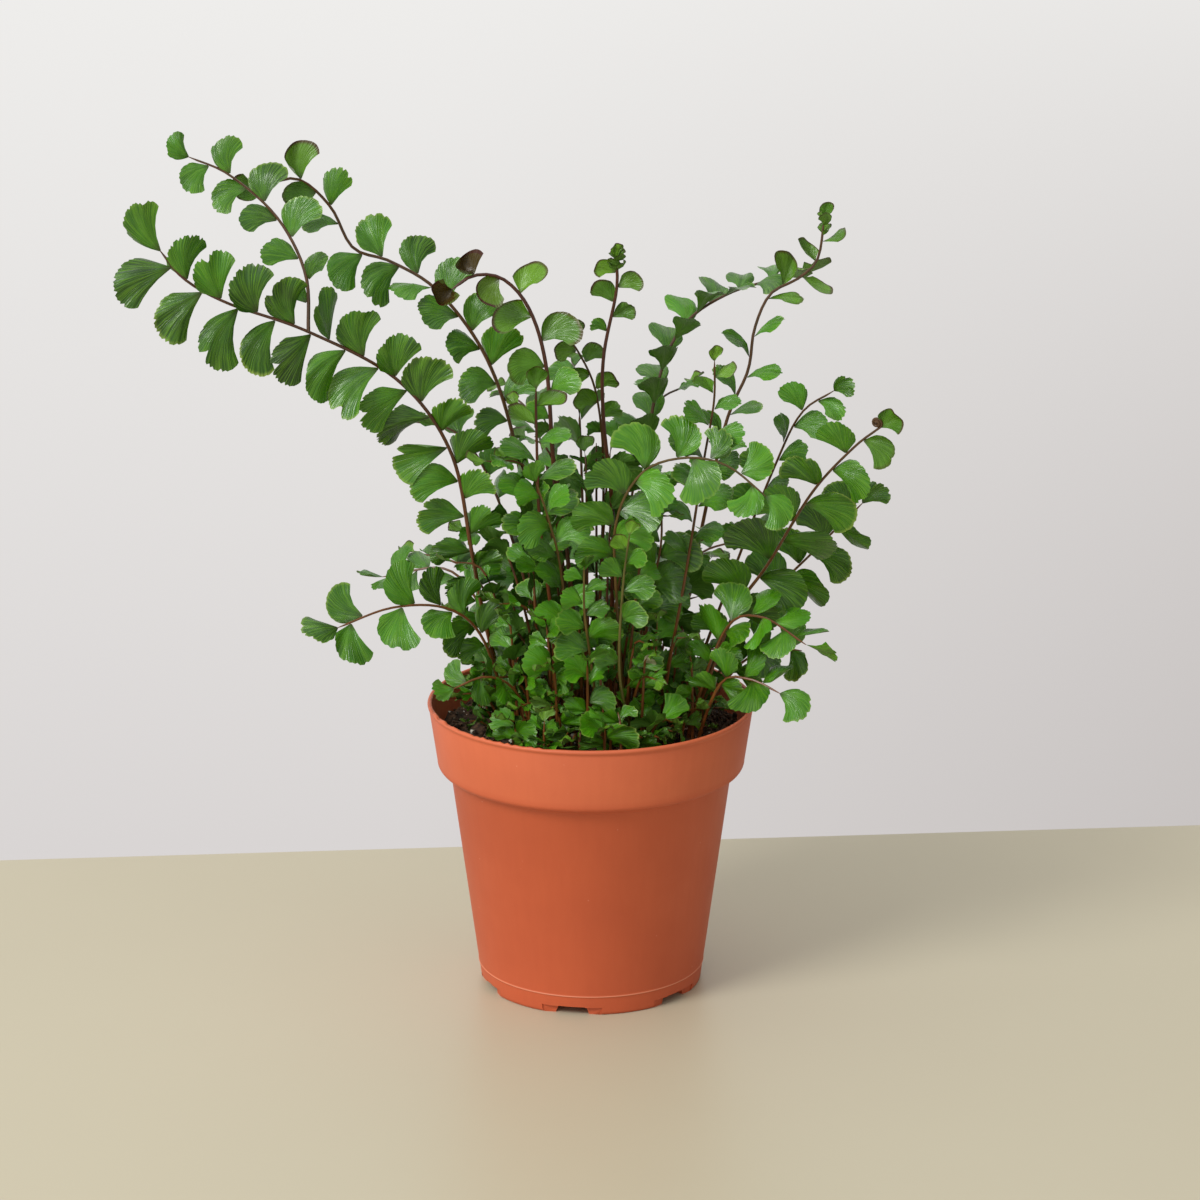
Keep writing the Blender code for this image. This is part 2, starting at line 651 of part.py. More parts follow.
def build_pot(parts, cutters, material):
    """The pot: a turned shell with a rim band, and drain notches round its foot."""
    outside, inside = pot_profile()
    pot = turned("pot", outside + inside, POT_SIDES, parts, material)
    notches = new_collection("notch cutters", cutters)
    outer_end = FOOT_RADIUS + OVERCUT
    for i in range(NOTCHES):
        turn = NOTCH_TURN + 2.0 * math.pi * i / NOTCHES
        for name, inner_end, width, height in (
            ("recess", FOOT_RADIUS - RECESS_DEPTH, RECESS_WIDTH, RECESS_HEIGHT),
            ("channel", DRAIN_AT - 2.0, CHANNEL_WIDTH, CHANNEL_HEIGHT),
        ):
            size = (outer_end - inner_end, width, 2.0 * height)
            middle = (0.5 * (outer_end + inner_end), 0.0, 0.0)
            add_cutter_box(f"{name}_{i}", size, middle, turn, notches)
        add_cutter_rod(f"drain_{i}", DRAIN_RADIUS, 10, -OVERCUT, FLOOR + OVERCUT, (DRAIN_AT, 0.0), turn,
                       notches)
    cut(pot, notches)
    return pot


def soil_profile():
    """(radius, height) of the soil, from the middle of its top down its side and under it, in mm."""
    _, (_, *corners, rim) = pot_profile()
    low, shoulder, band = corners
    share = (SOIL_LEVEL - band[1]) / (rim[1] - band[1])
    top_radius = band[0] + share * (rim[0] - band[0]) - SOIL_GAP
    top = [(0.0, SOIL_LEVEL), *((r, SOIL_LEVEL) for r in SOIL_RINGS), (top_radius, SOIL_LEVEL)]
    side = [(r - SOIL_GAP, z) for r, z in (band, shoulder)]
    under = [(low[0] - SOIL_GAP, FLOOR + SOIL_GAP), (0.0, FLOOR + SOIL_GAP)]
    return top + side + under


def build_soil(parts, cutters, material):
    """The soil: it fills the pot, has a bumpy top, and a plain hole for each frond's foot."""
    turned_soil = turned("soil_form", soil_profile(), SOIL_SIDES, cutters, None)
    hide_cutter(turned_soil)
    graph = bpy.context.evaluated_depsgraph_get()
    mesh = bpy.data.meshes.new_from_object(turned_soil.evaluated_get(graph))
    bpy.data.objects.remove(turned_soil)
    for vertex in mesh.vertices:
        x, y, z = vertex.co / MM
        if z > SOIL_LEVEL - 0.1:
            vertex.co.z = height_of_soil(x, y) * MM
    soil = add_object("soil", mesh, parts, material)
    holes = new_collection("foot holes", cutters)
    for frond in FRONDS:
        if not frond.on:
            top = height_of_soil(*frond.foot)
            bottom = top - FOOT_DEPTH - HOLE_BELOW_FOOT
            add_cutter_rod(f"hole_{frond.name}", HOLE_RADIUS, 6, bottom, top + OVERCUT,
                           frond.foot, 0.0, holes)
    cut(soil, holes)
    return soil


def evaluated_body(owner, obj):
    """The faces of a finished object, in mm, for leaflets to keep clear of."""
    graph = bpy.context.evaluated_depsgraph_get()
    mesh = obj.evaluated_get(graph).to_mesh()
    points = [vertex.co / MM for vertex in mesh.vertices]
    return body_of(owner, points, [tuple(face.vertices) for face in mesh.polygons])


def join_fork(stem, fork):
    """Joins a fork to the frond that it grows from, as one body, and removes the fork."""
    boolean = stem.modifiers.new("Fork", "BOOLEAN")
    boolean.operation = "UNION"
    boolean.object = fork
    boolean.solver = "EXACT"
    graph = bpy.context.evaluated_depsgraph_get()
    joined = bpy.data.meshes.new_from_object(stem.evaluated_get(graph))
    stem.modifiers.clear()
    stem.data = joined
    bpy.data.objects.remove(fork)


def build_fronds(parts, fixed, material):
    objects = {}
    for name, (rib, leaflets) in grow(fixed).items():
        objects[name] = add_object(f"frond_{name}", frond_mesh(name, rib, leaflets), parts, material)
        thicken(objects[name])
    for frond in FRONDS:
        if frond.on:
            join_fork(objects[frond.on], objects[frond.name])


def main():
    for obj in list(bpy.data.objects):
        bpy.data.objects.remove(obj)
    parts = new_collection("potted mahogany fern", bpy.context.scene.collection)
    cutters = new_collection("cutters", bpy.context.scene.collection)
    terracotta = make_material("terracotta-coloured polypropylene", (0.55, 0.13, 0.055), 0.45)
    soil_brown = make_material("damp potting soil", (0.03, 0.018, 0.012), 0.95)
    leaf_green = make_material("fern leaflets", (0.03, 0.14, 0.02), 0.4)
    pot = build_pot(parts, cutters, terracotta)
    soil = build_soil(parts, cutters, soil_brown)
    build_fronds(parts, [evaluated_body("pot", pot), evaluated_body("soil", soil)], leaf_green)


main()
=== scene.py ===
"""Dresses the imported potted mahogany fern: a young fern in a terracotta-coloured nursery pot.

Lengths are in millimetres, as one would measure the plant, and make_piece turns them into metres.
"""

import itertools
import json
import math
import random
from typing import NamedTuple

import bpy
import numpy as np
from mathutils.bvhtree import BVHTree
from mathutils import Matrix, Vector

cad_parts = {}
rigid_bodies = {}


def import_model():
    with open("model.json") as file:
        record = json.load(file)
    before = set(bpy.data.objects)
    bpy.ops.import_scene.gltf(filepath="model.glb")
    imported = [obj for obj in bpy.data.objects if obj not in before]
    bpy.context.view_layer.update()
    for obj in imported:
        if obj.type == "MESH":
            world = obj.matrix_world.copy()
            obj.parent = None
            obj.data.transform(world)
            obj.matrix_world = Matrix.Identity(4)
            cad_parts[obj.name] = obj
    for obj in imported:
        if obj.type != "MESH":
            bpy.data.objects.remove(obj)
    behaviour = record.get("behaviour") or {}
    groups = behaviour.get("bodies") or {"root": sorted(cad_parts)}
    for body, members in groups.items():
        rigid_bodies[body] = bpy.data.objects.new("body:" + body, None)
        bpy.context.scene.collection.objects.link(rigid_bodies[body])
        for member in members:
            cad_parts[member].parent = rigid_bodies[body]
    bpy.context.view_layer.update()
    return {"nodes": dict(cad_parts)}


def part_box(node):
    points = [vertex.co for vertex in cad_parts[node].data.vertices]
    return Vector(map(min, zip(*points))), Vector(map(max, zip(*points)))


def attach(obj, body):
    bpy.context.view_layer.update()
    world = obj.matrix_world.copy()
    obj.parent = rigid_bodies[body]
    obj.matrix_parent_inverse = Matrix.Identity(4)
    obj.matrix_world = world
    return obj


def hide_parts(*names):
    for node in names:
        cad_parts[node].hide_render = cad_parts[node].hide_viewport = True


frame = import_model()

# Nursery pot
# The real one is injection moulded in terracotta-coloured polypropylene, about 1 mm thick, with a deep
# rim band. The mould left a thin lip, a line near the foot where its halves met, and a little flash.

MM = 0.001
SHARP = 50.0
WAVES = 24
POT_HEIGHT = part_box("pot")[1].z / MM
RIM_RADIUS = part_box("pot")[1].x / MM
WALL = 1.2
FLOOR = 4.2
LIP_ROUND = 0.75
LIP_GROOVE = 0.45
BAND_TOP_RADIUS = RIM_RADIUS - 0.55
BAND_FOOT = 75.0
BAND_FOOT_RADIUS = 49.5
BAND_ROUND = 2.3
BODY_TOP = 71.5
BODY_TOP_RADIUS = 45.3
FOOT_RADIUS = 35.8
PARTING_LINE = 6.5
PARTING_PROUD = 0.16
POT_TURNS = 240
NOTCHES = 6
NOTCH_TURN = math.radians(-100.0)
# Width at the surface, width at the top, height and depth of the two steps of a foot notch
RECESS = (19.0, 19.6, 2.6, 1.6)
CHANNEL = (10.8, 8.6, 2.8, 13.8)
DRAIN_RADIUS = 3.0
DRAIN_AT = 24.0
DRAIN_HALF = 9.0
DRAIN_TURNS = 24
FLASH_FROM, FLASH_TO = 184.0, 262.0
FLASH_HEIGHT = 0.3


def srgb(code):
    """A colour in linear light from its sRGB hex code."""
    values = [int(code[k : k + 2], 16) / 255.0 for k in (0, 2, 4)]
    return (*(v / 12.92 if v <= 0.04045 else ((v + 0.055) / 1.055) ** 2.4 for v in values), 1.0)


def node(tree, kind, inputs, output=0, **settings):
    """Adds a shader node with its settings, links or sets its inputs, and gives one of its outputs."""
    made = tree.nodes.new(f"ShaderNode{kind}")
    for name, value in settings.items():
        setattr(made, name, value)
    for name, value in inputs.items():
        if isinstance(value, bpy.types.NodeSocket):
            tree.links.new(value, made.inputs[name])
        else:
            made.inputs[name].default_value = value
    return made.outputs[output] if made.outputs else None


def make_material(name, finish):
    """A new material. finish(tree, place) adds its nodes and gives the inputs of its shader, where
    place is the place on the piece, in metres."""
    material = bpy.data.materials.new(name)
    material.use_nodes = True
    tree = material.node_tree
    tree.nodes.clear()
    place = node(tree, "TexCoord", {}, "Object")
    shader = node(tree, "BsdfPrincipled", finish(tree, place))
    node(tree, "OutputMaterial", {"Surface": shader})
    return material


def grid_faces(rows, columns, closed):
    """Four-cornered faces of a grid of points that is numbered row by row. closed joins the last
    column to the first."""
    i, j = np.meshgrid(np.arange(rows - 1), np.arange(columns - (not closed)), indexing="ij")
    beside = (j + 1) % columns
    corners = (i * columns + j, (i + 1) * columns + j, (i + 1) * columns + beside, i * columns + beside)
    return np.stack(corners, -1).reshape(-1, 4)


def welded(points, faces):
    """Merges points that lie in one place, and drops the corners that a face then has twice."""
    _, first, merged = np.unique(points.round(5), axis=0, return_index=True, return_inverse=True)
    faces = [list(dict.fromkeys(face)) for face in merged.ravel()[faces].tolist()]
    return points[first], [face for face in faces if len(face) > 2]


def turned(profile, turns):
    """A turned surface: (r cos a, r sin a, z) for each (r, z) of its profile and each angle a."""
    a = np.arange(turns) * 2.0 * np.pi / turns
    r, z = np.array(profile).T
    return np.stack([np.outer(r, np.cos(a)), np.outer(r, np.sin(a)), np.outer(z, np.ones(turns))], -1)


def arc(centre, radius, start, end, steps):
    """Points (r, z) on a circle round centre, from one angle in degrees to another."""
    a = np.radians(np.linspace(start, end, steps))
    return [(centre[0] + radius * math.cos(b), centre[1] + radius * math.sin(b)) for b in a]


def waves(points, length, seed):
    """A soft random value, mostly from -1 to 1, at each point: 0.6 times the sum of WAVES cosines,
    about length mm long and in random directions, over the square root of half their number."""
    draw = np.random.default_rng(seed)
    ways = draw.normal(size=(WAVES, points.shape[-1]))
    lengths = length * np.linalg.norm(ways, axis=1)[:, None]
    ways *= 2.0 * np.pi * draw.uniform(0.7, 1.4, (WAVES, 1)) / lengths
    phases = draw.uniform(0.0, 2.0 * np.pi, WAVES)
    return np.cos(points @ ways.T + phases).sum(-1) / math.sqrt(0.5 * WAVES) * 0.6


def make_piece(name, points, faces, materials, slot, replaces=()):
    """A mesh piece that rides on the one body, and stands for the solids that it replaces. It is
    shaded smooth across edges that bend less than SHARP degrees."""
    mesh = bpy.data.meshes.new(name)
    mesh.from_pydata(np.asarray(points) * MM, [], faces)
    mesh.shade_smooth()
    mesh.set_sharp_from_angle(angle=math.radians(SHARP))
    for material in materials:
        mesh.materials.append(material)
    piece = bpy.data.objects.new(name, mesh)
    bpy.context.scene.collection.objects.link(piece)
    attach(piece, "root")
    if replaces:
        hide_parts(*replaces)
    return piece


def pot_profile():
    """(r, z) up the inside from the middle of the floor, over the lip and down to the base."""
    slope = (BODY_TOP_RADIUS - FOOT_RADIUS) / BODY_TOP
    line_radius = FOOT_RADIUS + slope * PARTING_LINE
    lip_middle = (RIM_RADIUS - LIP_ROUND, POT_HEIGHT - LIP_ROUND)
    groove = POT_HEIGHT - 2.0 * LIP_ROUND - LIP_GROOVE
    band_middle = (BAND_FOOT_RADIUS - BAND_ROUND, BAND_FOOT)
    return [
        (0.0, FLOOR),
        (FOOT_RADIUS + slope * FLOOR - WALL, FLOOR),
        (BODY_TOP_RADIUS - WALL, BODY_TOP),
        (BAND_FOOT_RADIUS - WALL, BAND_FOOT),
        (BAND_TOP_RADIUS - WALL, POT_HEIGHT - 3.0),
        *arc(lip_middle, LIP_ROUND, 190, -60, 9),
        (BAND_TOP_RADIUS - 0.15, groove),
        (BAND_TOP_RADIUS, groove - LIP_GROOVE),
        *arc(band_middle, BAND_ROUND, 4, -78, 8),
        (BODY_TOP_RADIUS + 0.5, BODY_TOP + 0.7),
        (BODY_TOP_RADIUS, BODY_TOP),
        (line_radius + slope * 0.75, PARTING_LINE + 0.75),
        (line_radius, PARTING_LINE + 0.25),
        (line_radius + PARTING_PROUD, PARTING_LINE),
        (line_radius - 0.1, PARTING_LINE - 0.25),
        (line_radius - 0.15, PARTING_LINE - 0.6),
        *((FOOT_RADIUS + slope * z - 0.05, z) for z in (4.6, 3.4, 2.2, 1.2)),
        (FOOT_RADIUS, 0.5),
        (FOOT_RADIUS - 0.5, 0.0),
        (0.0, 0.0),
    ]


def add_cutter(name, points, faces, cutters):
    """A closed mesh among the cutters, which are cut out of the pot together."""
    mesh = bpy.data.meshes.new(name)
    mesh.from_pydata(points * MM, [], faces)
    cutters.objects.link(bpy.data.objects.new(name, mesh))


def notch_block(bottom_width, top_width, height, depth, turn):
    """A block with slanted sides across the pot's foot: (x, side * width / 2, z) turned about the axis."""
    outer = FOOT_RADIUS + 4.0
    inner = FOOT_RADIUS - depth
    places = ((inner, -0.5), (outer, -0.5), (outer, 0.5), (inner, 0.5))
    corners = []
    for z, width in ((-height, 2.0 * bottom_width - top_width), (height, top_width)):
        corners += [(x, side * width, z) for x, side in places]
    c, s = math.cos(turn), math.sin(turn)
    faces = [(3, 2, 1, 0), (4, 5, 6, 7), (0, 1, 5, 4), (1, 2, 6, 5), (2, 3, 7, 6), (3, 0, 4, 7)]
    return np.array(corners) @ np.array([[c, s, 0.0], [-s, c, 0.0], [0.0, 0.0, 1.0]]), faces


def drain_rod(turn):
    """An upright rod through the floor: a turned profile beside the pot's axis."""
    profile = [(0.0, DRAIN_HALF), (DRAIN_RADIUS, DRAIN_HALF), (DRAIN_RADIUS, -DRAIN_HALF), (0.0, -DRAIN_HALF)]
    points = turned(profile, DRAIN_TURNS)
    points = points.reshape(-1, 3) + (DRAIN_AT * math.cos(turn), DRAIN_AT * math.sin(turn), 0.0)
    return welded(points, grid_faces(len(profile), DRAIN_TURNS, True))


def moulded_plastic(tree, place):
    """Polypropylene as it leaves a spark-eroded mould gives a soft, wide sheen, faint upright flow
    marks some 2 mm wide, a pale scuffed parting line, and a few grains of dust and lime. Below its
    band it is painted darker: painted shade, as the band shades the body and catches more light
    itself. The mould's fine grain is drawn 0.4 mm wide, so that it shows."""
    flow = node(tree, "Mapping", {"Vector": place, "Scale": (1.0, 1.0, 0.06)})
    marks = node(tree, "TexNoise", {"Vector": flow, "Scale": 420.0, "Detail": 3.0})
    cloud = node(tree, "TexNoise", {"Vector": place, "Scale": 45.0, "Detail": 2.0})
    grain = node(tree, "TexNoise", {"Vector": place, "Scale": 2600.0, "Detail": 2.0})
    specks = node(tree, "TexVoronoi", {"Vector": place, "Scale": 330.0})
    rarely = node(tree, "TexNoise", {"Vector": place, "Scale": 210.0})
    dust = node(tree, "MapRange", {"Value": specks, 1: 0.10, 2: 0.03, 3: 0.0, 4: 1.0})
    where = node(tree, "MapRange", {"Value": rarely, 1: 0.57, 2: 0.63, 3: 0.0, 4: 0.5})
    dust = node(tree, "Math", {0: dust, 1: where}, operation="MULTIPLY")
    tone = node(tree, "MapRange", {"Value": marks, 1: 0.3, 2: 0.7, 3: 0.0, 4: 0.3})
    base = node(tree, "Mix", {0: tone, 6: srgb("CE663E"), 7: srgb("C55E38")}, 2, data_type="RGBA")
    shade = node(tree, "MapRange", {"Value": cloud, 1: 0.35, 2: 0.7, 3: 0.0, 4: 0.35})
    # Painted shade: body darkens the wall below the band, where the band shades it.
    height = node(tree, "SeparateXYZ", {0: place}, 2)
    above, below = (BAND_FOOT + 1.5) * MM, (BAND_FOOT - 1.5) * MM
    body = node(tree, "MapRange", {"Value": height, 1: above, 2: below, 3: 0.0, 4: 1.0})
    off_line = node(tree, "Math", {0: height, 1: PARTING_LINE * MM}, operation="SUBTRACT")
    off_line = node(tree, "Math", {0: off_line}, operation="ABSOLUTE")
    scuffed = node(tree, "MapRange", {"Value": off_line, 1: 0.00032, 2: 0.0001, 3: 0.0, 4: 0.4})
    layers = (
        (shade, "BD5A37", "MIX"),
        (body, "F6E5DC", "MULTIPLY"),
        (scuffed, "EDAA86", "MIX"),
        (dust, "E8B195", "MIX"),
    )
    for share, colour, blend in layers:
        colours = {0: share, 6: base, 7: srgb(colour)}
        base = node(tree, "Mix", colours, 2, data_type="RGBA", blend_type=blend)
    rough = node(tree, "MapRange", {"Value": cloud, 1: 0.3, 2: 0.7, 3: 0.5, 4: 0.6})
    bump = node(tree, "Bump", {"Height": grain, "Strength": 0.12, "Distance": 0.0002})
    bump = node(tree, "Bump", {"Height": marks, "Strength": 0.10, "Distance": 0.0004, "Normal": bump})
    return {"Base Color": base, "Roughness": rough, "Normal": bump, "IOR": 1.49}


def make_pot():
    """The turned shell, with flash along the lip: z rises by a ragged wave between two angles. The
    notches round its foot and the drain holes are cut out of it."""
    points = turned(pot_profile(), POT_TURNS)
    angle = np.degrees(np.arctan2(points[..., 1], points[..., 0])) % 360.0
    rise = np.clip(np.minimum(angle - FLASH_FROM, FLASH_TO - angle) / 12.0, 0.0, 1.0)
    ragged = waves(angle[..., None], 9.0, 3) + 0.8 * waves(angle[..., None], 3.5, 4)
    on_lip = np.clip((points[..., 2] - POT_HEIGHT + 0.5) / 0.5, 0.0, 1.0)
    points[..., 2] += FLASH_HEIGHT * rise * on_lip * (ragged - 0.35)
    points, faces = welded(points.reshape(-1, 3), grid_faces(points.shape[0], POT_TURNS, True))
    plastic = make_material("injection-moulded polypropylene", moulded_plastic)
    pot = make_piece("nursery_pot", points, faces, [plastic], "pot", ["pot"])
    cutters = bpy.data.collections.new("pot cutters")
    for k in range(NOTCHES):
        turn = NOTCH_TURN + 2.0 * math.pi * k / NOTCHES
        for name, size in (("recess", RECESS), ("channel", CHANNEL)):
            add_cutter(f"{name}_{k}", *notch_block(*size, turn), cutters)
        add_cutter(f"drain_{k}", *drain_rod(turn), cutters)
    boolean = pot.modifiers.new("Notches", "BOOLEAN")
    boolean.operand_type = "COLLECTION"
    boolean.collection = cutters
    bpy.context.scene.collection.children.link(cutters)
    graph = bpy.context.evaluated_depsgraph_get()
    mesh = bpy.data.meshes.new_from_object(pot.evaluated_get(graph))
    pot.modifiers.clear()
    pot.data = mesh
    mesh.shade_smooth()
    mesh.set_sharp_from_angle(angle=math.radians(SHARP))
    for cutter in list(cutters.objects):
        bpy.data.objects.remove(cutter)
    bpy.data.collections.remove(cutters)


make_pot()

# Potting soil
# Damp peat with coir fibres and white grains of perlite, heaped a little towards the middle. Loose
# crumbs and grains lie on it, half sunk.

SOIL_LEVEL = 84.5
SOIL_MOUND = 2.0
SOIL_BUMPS = 0.9
SOIL_RADIUS = 49.3
SOIL_RINGS = 46
SOIL_TURNS = 150
CRUMBS = 2400
CRUMB_SIZE = (0.35, 1.4)
PERLITE = 46
PERLITE_SIZE = (0.6, 1.5)
LIME = 260
LIME_SIZE = (0.12, 0.4)
FIBRES = 90
FIBRE_LENGTH = (3.0, 9.0)
FIBRE_RADIUS = 0.14
FIBRE_POINTS = 6
FIBRE_SIDES = 5
# Where perlite lies thickest on the real soil: (x, y, spread, share of the grains)
PERLITE_PLACES = ((12.0, -42.0, 7.0, 0.45), (-43.0, -10.0, 6.0, 0.25), (0.0, 0.0, 24.0, 0.3))


def height_of_soil(x, y):
    """Soil height in mm: a low mound with bumps made of crossed waves."""
    mound = SOIL_MOUND * (1.0 - (x * x + y * y) / BAND_FOOT_RADIUS**2)
    bumps = np.sin(0.31 * x + 0.17 * y) + np.sin(0.23 * y - 0.36 * x + 1.7) + np.sin(0.52 * y + 0.6)
    return SOIL_LEVEL + mound + SOIL_BUMPS * bumps / 3.0


def relief_of_soil(x, y):
    """Height of the fine relief: the same mound with clods and crumbs of three sizes."""
    spot = np.stack([x, y], -1)
    fine = 0.75 * waves(spot, 11.0, 11) + 0.5 * waves(spot, 5.0, 12) + 0.35 * waves(spot, 2.4, 13)
    return height_of_soil(x, y) + fine


def ball(rows, columns):
    """A unit ball: (sin a cos b, sin a sin b, cos a), with one point at each pole."""
    a = np.linspace(0.0, np.pi, rows + 1)
    profile = np.stack([np.sin(a), np.cos(a)], -1)
    profile[[0, -1], 0] = 0.0
    return welded(turned(profile, columns).reshape(-1, 3), grid_faces(rows + 1, columns, True))


def lumps(places, sizes, seed, rows, columns):
    """Rough grains: a ball at each place, stretched, turned at random, and dented corner by corner."""
    draw = np.random.default_rng(seed)
    grain, faces = ball(rows, columns)
    count = len(places)
    dents = draw.uniform(0.72, 1.2, (count, len(grain), 1))
    stretch = draw.uniform(0.6, 1.25, (count, 1, 3))
    axes = np.linalg.qr(draw.normal(size=(count, 3, 3)))[0]
    axes[np.linalg.det(axes) < 0.0] *= -1.0
    points = (grain * dents * stretch) @ axes * np.reshape(sizes, (-1, 1, 1)) + places[:, None, :]
    step = len(grain)
    return points.reshape(-1, 3), [[c + k * step for c in face] for k in range(count) for face in faces]


def tube(centres, right, face, radii, sides):
    """A closed tube: ring k is centre k + radius k * (cos a * right k + sin a * face k)."""
    a = np.arange(sides) * 2.0 * np.pi / sides
    ring = np.cos(a)[:, None] * right[:, None, :] + np.sin(a)[:, None] * face[:, None, :]
    points = centres[:, None, :] + np.reshape(radii, (-1, 1, 1)) * ring
    faces = grid_faces(len(centres), sides, True).tolist()
    last = (len(centres) - 1) * sides
    faces += [list(range(sides)), list(range(last + sides - 1, last - 1, -1))]
    return points.reshape(-1, 3), faces


def joined(shapes):
    """Several (points, faces) as one."""
    starts = np.cumsum([0] + [len(points) for points, _ in shapes])
    faces = [[c + start for c in face] for start, (_, fs) in zip(starts.tolist(), shapes) for face in fs]
    return np.vstack([points for points, _ in shapes]), faces


def damp_peat(tree, place):
    """Damp peat is nearly black and matt, with warm brown grains about 1.5 mm wide in clods of 7
    mm, and dark patches of painted shade where crumbs shade each other."""
    grain = node(tree, "TexNoise", {"Vector": place, "Scale": 620.0, "Detail": 6.0, "Roughness": 0.65})
    clods = node(tree, "TexNoise", {"Vector": place, "Scale": 150.0, "Detail": 3.0})
    light = node(tree, "MapRange", {"Value": grain, 1: 0.42, 2: 0.72, 3: 0.0, 4: 1.0})
    base = node(tree, "Mix", {0: light, 6: srgb("2E1F14"), 7: srgb("745438")}, 2, data_type="RGBA")
    # Painted shade: dark patches where crumbs shade each other.
    crumb_shade = node(tree, "MapRange", {"Value": clods, 1: 0.45, 2: 0.65, 3: 0.0, 4: 0.6})
    base = node(tree, "Mix", {0: crumb_shade, 6: base, 7: srgb("1C130D")}, 2, data_type="RGBA")
    bump = node(tree, "Bump", {"Height": grain, "Strength": 0.8, "Distance": 0.0008})
    return {"Base Color": base, "Roughness": 0.9, "Normal": bump}


def expanded_perlite(tree, place):
    """Perlite is volcanic glass puffed up by heat: chalk white, a little dirty, and pitted every
    0.7 mm or so."""
    pits = node(tree, "TexNoise", {"Vector": place, "Scale": 1500.0, "Detail": 4.0})
    dirt = node(tree, "MapRange", {"Value": pits, 1: 0.4, 2: 0.7, 3: 0.0, 4: 0.8})
    base = node(tree, "Mix", {0: dirt, 6: srgb("E6DFCF"), 7: srgb("9C8F78")}, 2, data_type="RGBA")
    bump = node(tree, "Bump", {"Height": pits, "Strength": 0.7, "Distance": 0.0003})
    return {"Base Color": base, "Roughness": 0.85, "Normal": bump}


def coir(tree, place):
    """Coir fibre is dry and straw brown, and paler for a stretch of 2 mm here and there."""
    streak = node(tree, "TexNoise", {"Vector": place, "Scale": 500.0, "Detail": 3.0})
    base = node(tree, "Mix", {0: streak, 6: srgb("4A3322"), 7: srgb("8C6B47")}, 2, data_type="RGBA")
    bump = node(tree, "Bump", {"Height": streak, "Strength": 0.4, "Distance": 0.0002})
    return {"Base Color": base, "Roughness": 0.8, "Normal": bump}


def scattered(count, radius, seed):
    """Points (x, y) spread evenly over a disc: radius * sqrt(random) at random angles."""
    draw = np.random.default_rng(seed)
    r = radius * np.sqrt(draw.uniform(size=count))
    a = draw.uniform(0.0, 2.0 * np.pi, count)
    return np.stack([r * np.cos(a), r * np.sin(a)], -1)


def make_soil():
    """The turned body of the soil, whose top carries the fine relief."""
    rings = SOIL_RADIUS * np.linspace(0.0, 1.0, SOIL_RINGS) ** 0.8
    side = [(BAND_FOOT_RADIUS - WALL - 0.3, BAND_FOOT), (BODY_TOP_RADIUS - WALL - 0.3, BODY_TOP)]
    under = [(FOOT_RADIUS - WALL, FLOOR + 0.3), (0.0, FLOOR + 0.3)]
    profile = [(r, SOIL_LEVEL) for r in rings] + side + under
    points = turned(profile, SOIL_TURNS)
    top = points[:SOIL_RINGS]
    top[..., 2] = relief_of_soil(top[..., 0], top[..., 1])
    top[-1, :, 2] = SOIL_LEVEL - 1.5
    points, faces = welded(points.reshape(-1, 3), grid_faces(len(profile), SOIL_TURNS, True))
    peat = make_material("damp sieved peat", damp_peat)
    make_piece("potting_soil", points, faces, [peat], "soil", ["soil"])
    spots = scattered(CRUMBS, SOIL_RADIUS - 1.0, 21)
    sizes = np.random.default_rng(22).uniform(*CRUMB_SIZE, CRUMBS) ** 1.5 * 0.62
    places = np.column_stack([spots, relief_of_soil(*spots.T) + 0.3 * sizes])
    make_piece("soil_crumbs", *lumps(places, sizes, 23, 4, 5), [peat], "soil")


def make_perlite():
    """White grains, thickest at the places where the real soil shows them."""
    draw = np.random.default_rng(31)
    spots = []
    for x, y, spread, share in PERLITE_PLACES:
        spots.append((x, y) + spread * draw.normal(size=(round(PERLITE * share), 2)))
    spots = np.vstack(spots)
    spots = spots[np.linalg.norm(spots, axis=1) < SOIL_RADIUS - 1.5]
    sizes = draw.uniform(*PERLITE_SIZE, len(spots))
    places = np.column_stack([spots, relief_of_soil(*spots.T) + 0.45 * sizes])
    perlite = make_material("expanded perlite", expanded_perlite)
    make_piece("perlite", *lumps(places, sizes, 32, 6, 8), [perlite], "soil")
    spots = scattered(LIME, SOIL_RADIUS - 1.0, 33)
    sizes = draw.uniform(*LIME_SIZE, LIME)
    places = np.column_stack([spots, relief_of_soil(*spots.T) + 0.5])
    make_piece("lime_grains", *lumps(places, sizes, 34, 4, 5), [perlite], "soil")


def make_fibres():
    """Short threads of coir that lie on the soil: each one's heading turns evenly along it, and its
    middle is lifted by a half wave."""
    draw = np.random.default_rng(41)
    n = FIBRE_POINTS
    shapes = []
    for x, y in scattered(FIBRES, SOIL_RADIUS - 5.0, 42):
        heading = draw.uniform(0.0, 2.0 * np.pi) + np.linspace(0.0, draw.uniform(-1.4, 1.4), n)
        step = draw.uniform(*FIBRE_LENGTH) / n
        along = np.stack([np.cos(heading), np.sin(heading), np.zeros(n)], -1)
        path = np.cumsum(along * step, 0) + (x, y, 0.0)
        path[:, 2] = relief_of_soil(path[:, 0], path[:, 1]) + 0.35 + 0.8 * np.sin(np.linspace(0.2, 2.9, n))
        right = np.stack([np.sin(heading), -np.cos(heading), np.zeros(n)], -1)
        up = np.tile((0.0, 0.0, 1.0), (n, 1))
        shapes.append(tube(path, right, up, np.full(n, FIBRE_RADIUS), FIBRE_SIDES))
    make_piece("coir_fibres", *joined(shapes), [make_material("coir fibre", coir)], "soil")


make_soil()
make_perlite()
make_fibres()

# Fronds
# Each is a wiry, dark red-brown rib with thin leathery blades left and right. A blade is a lopsided
# fan on a very short stalk, toothed along its outer edge, with fine veins that spread from its root.

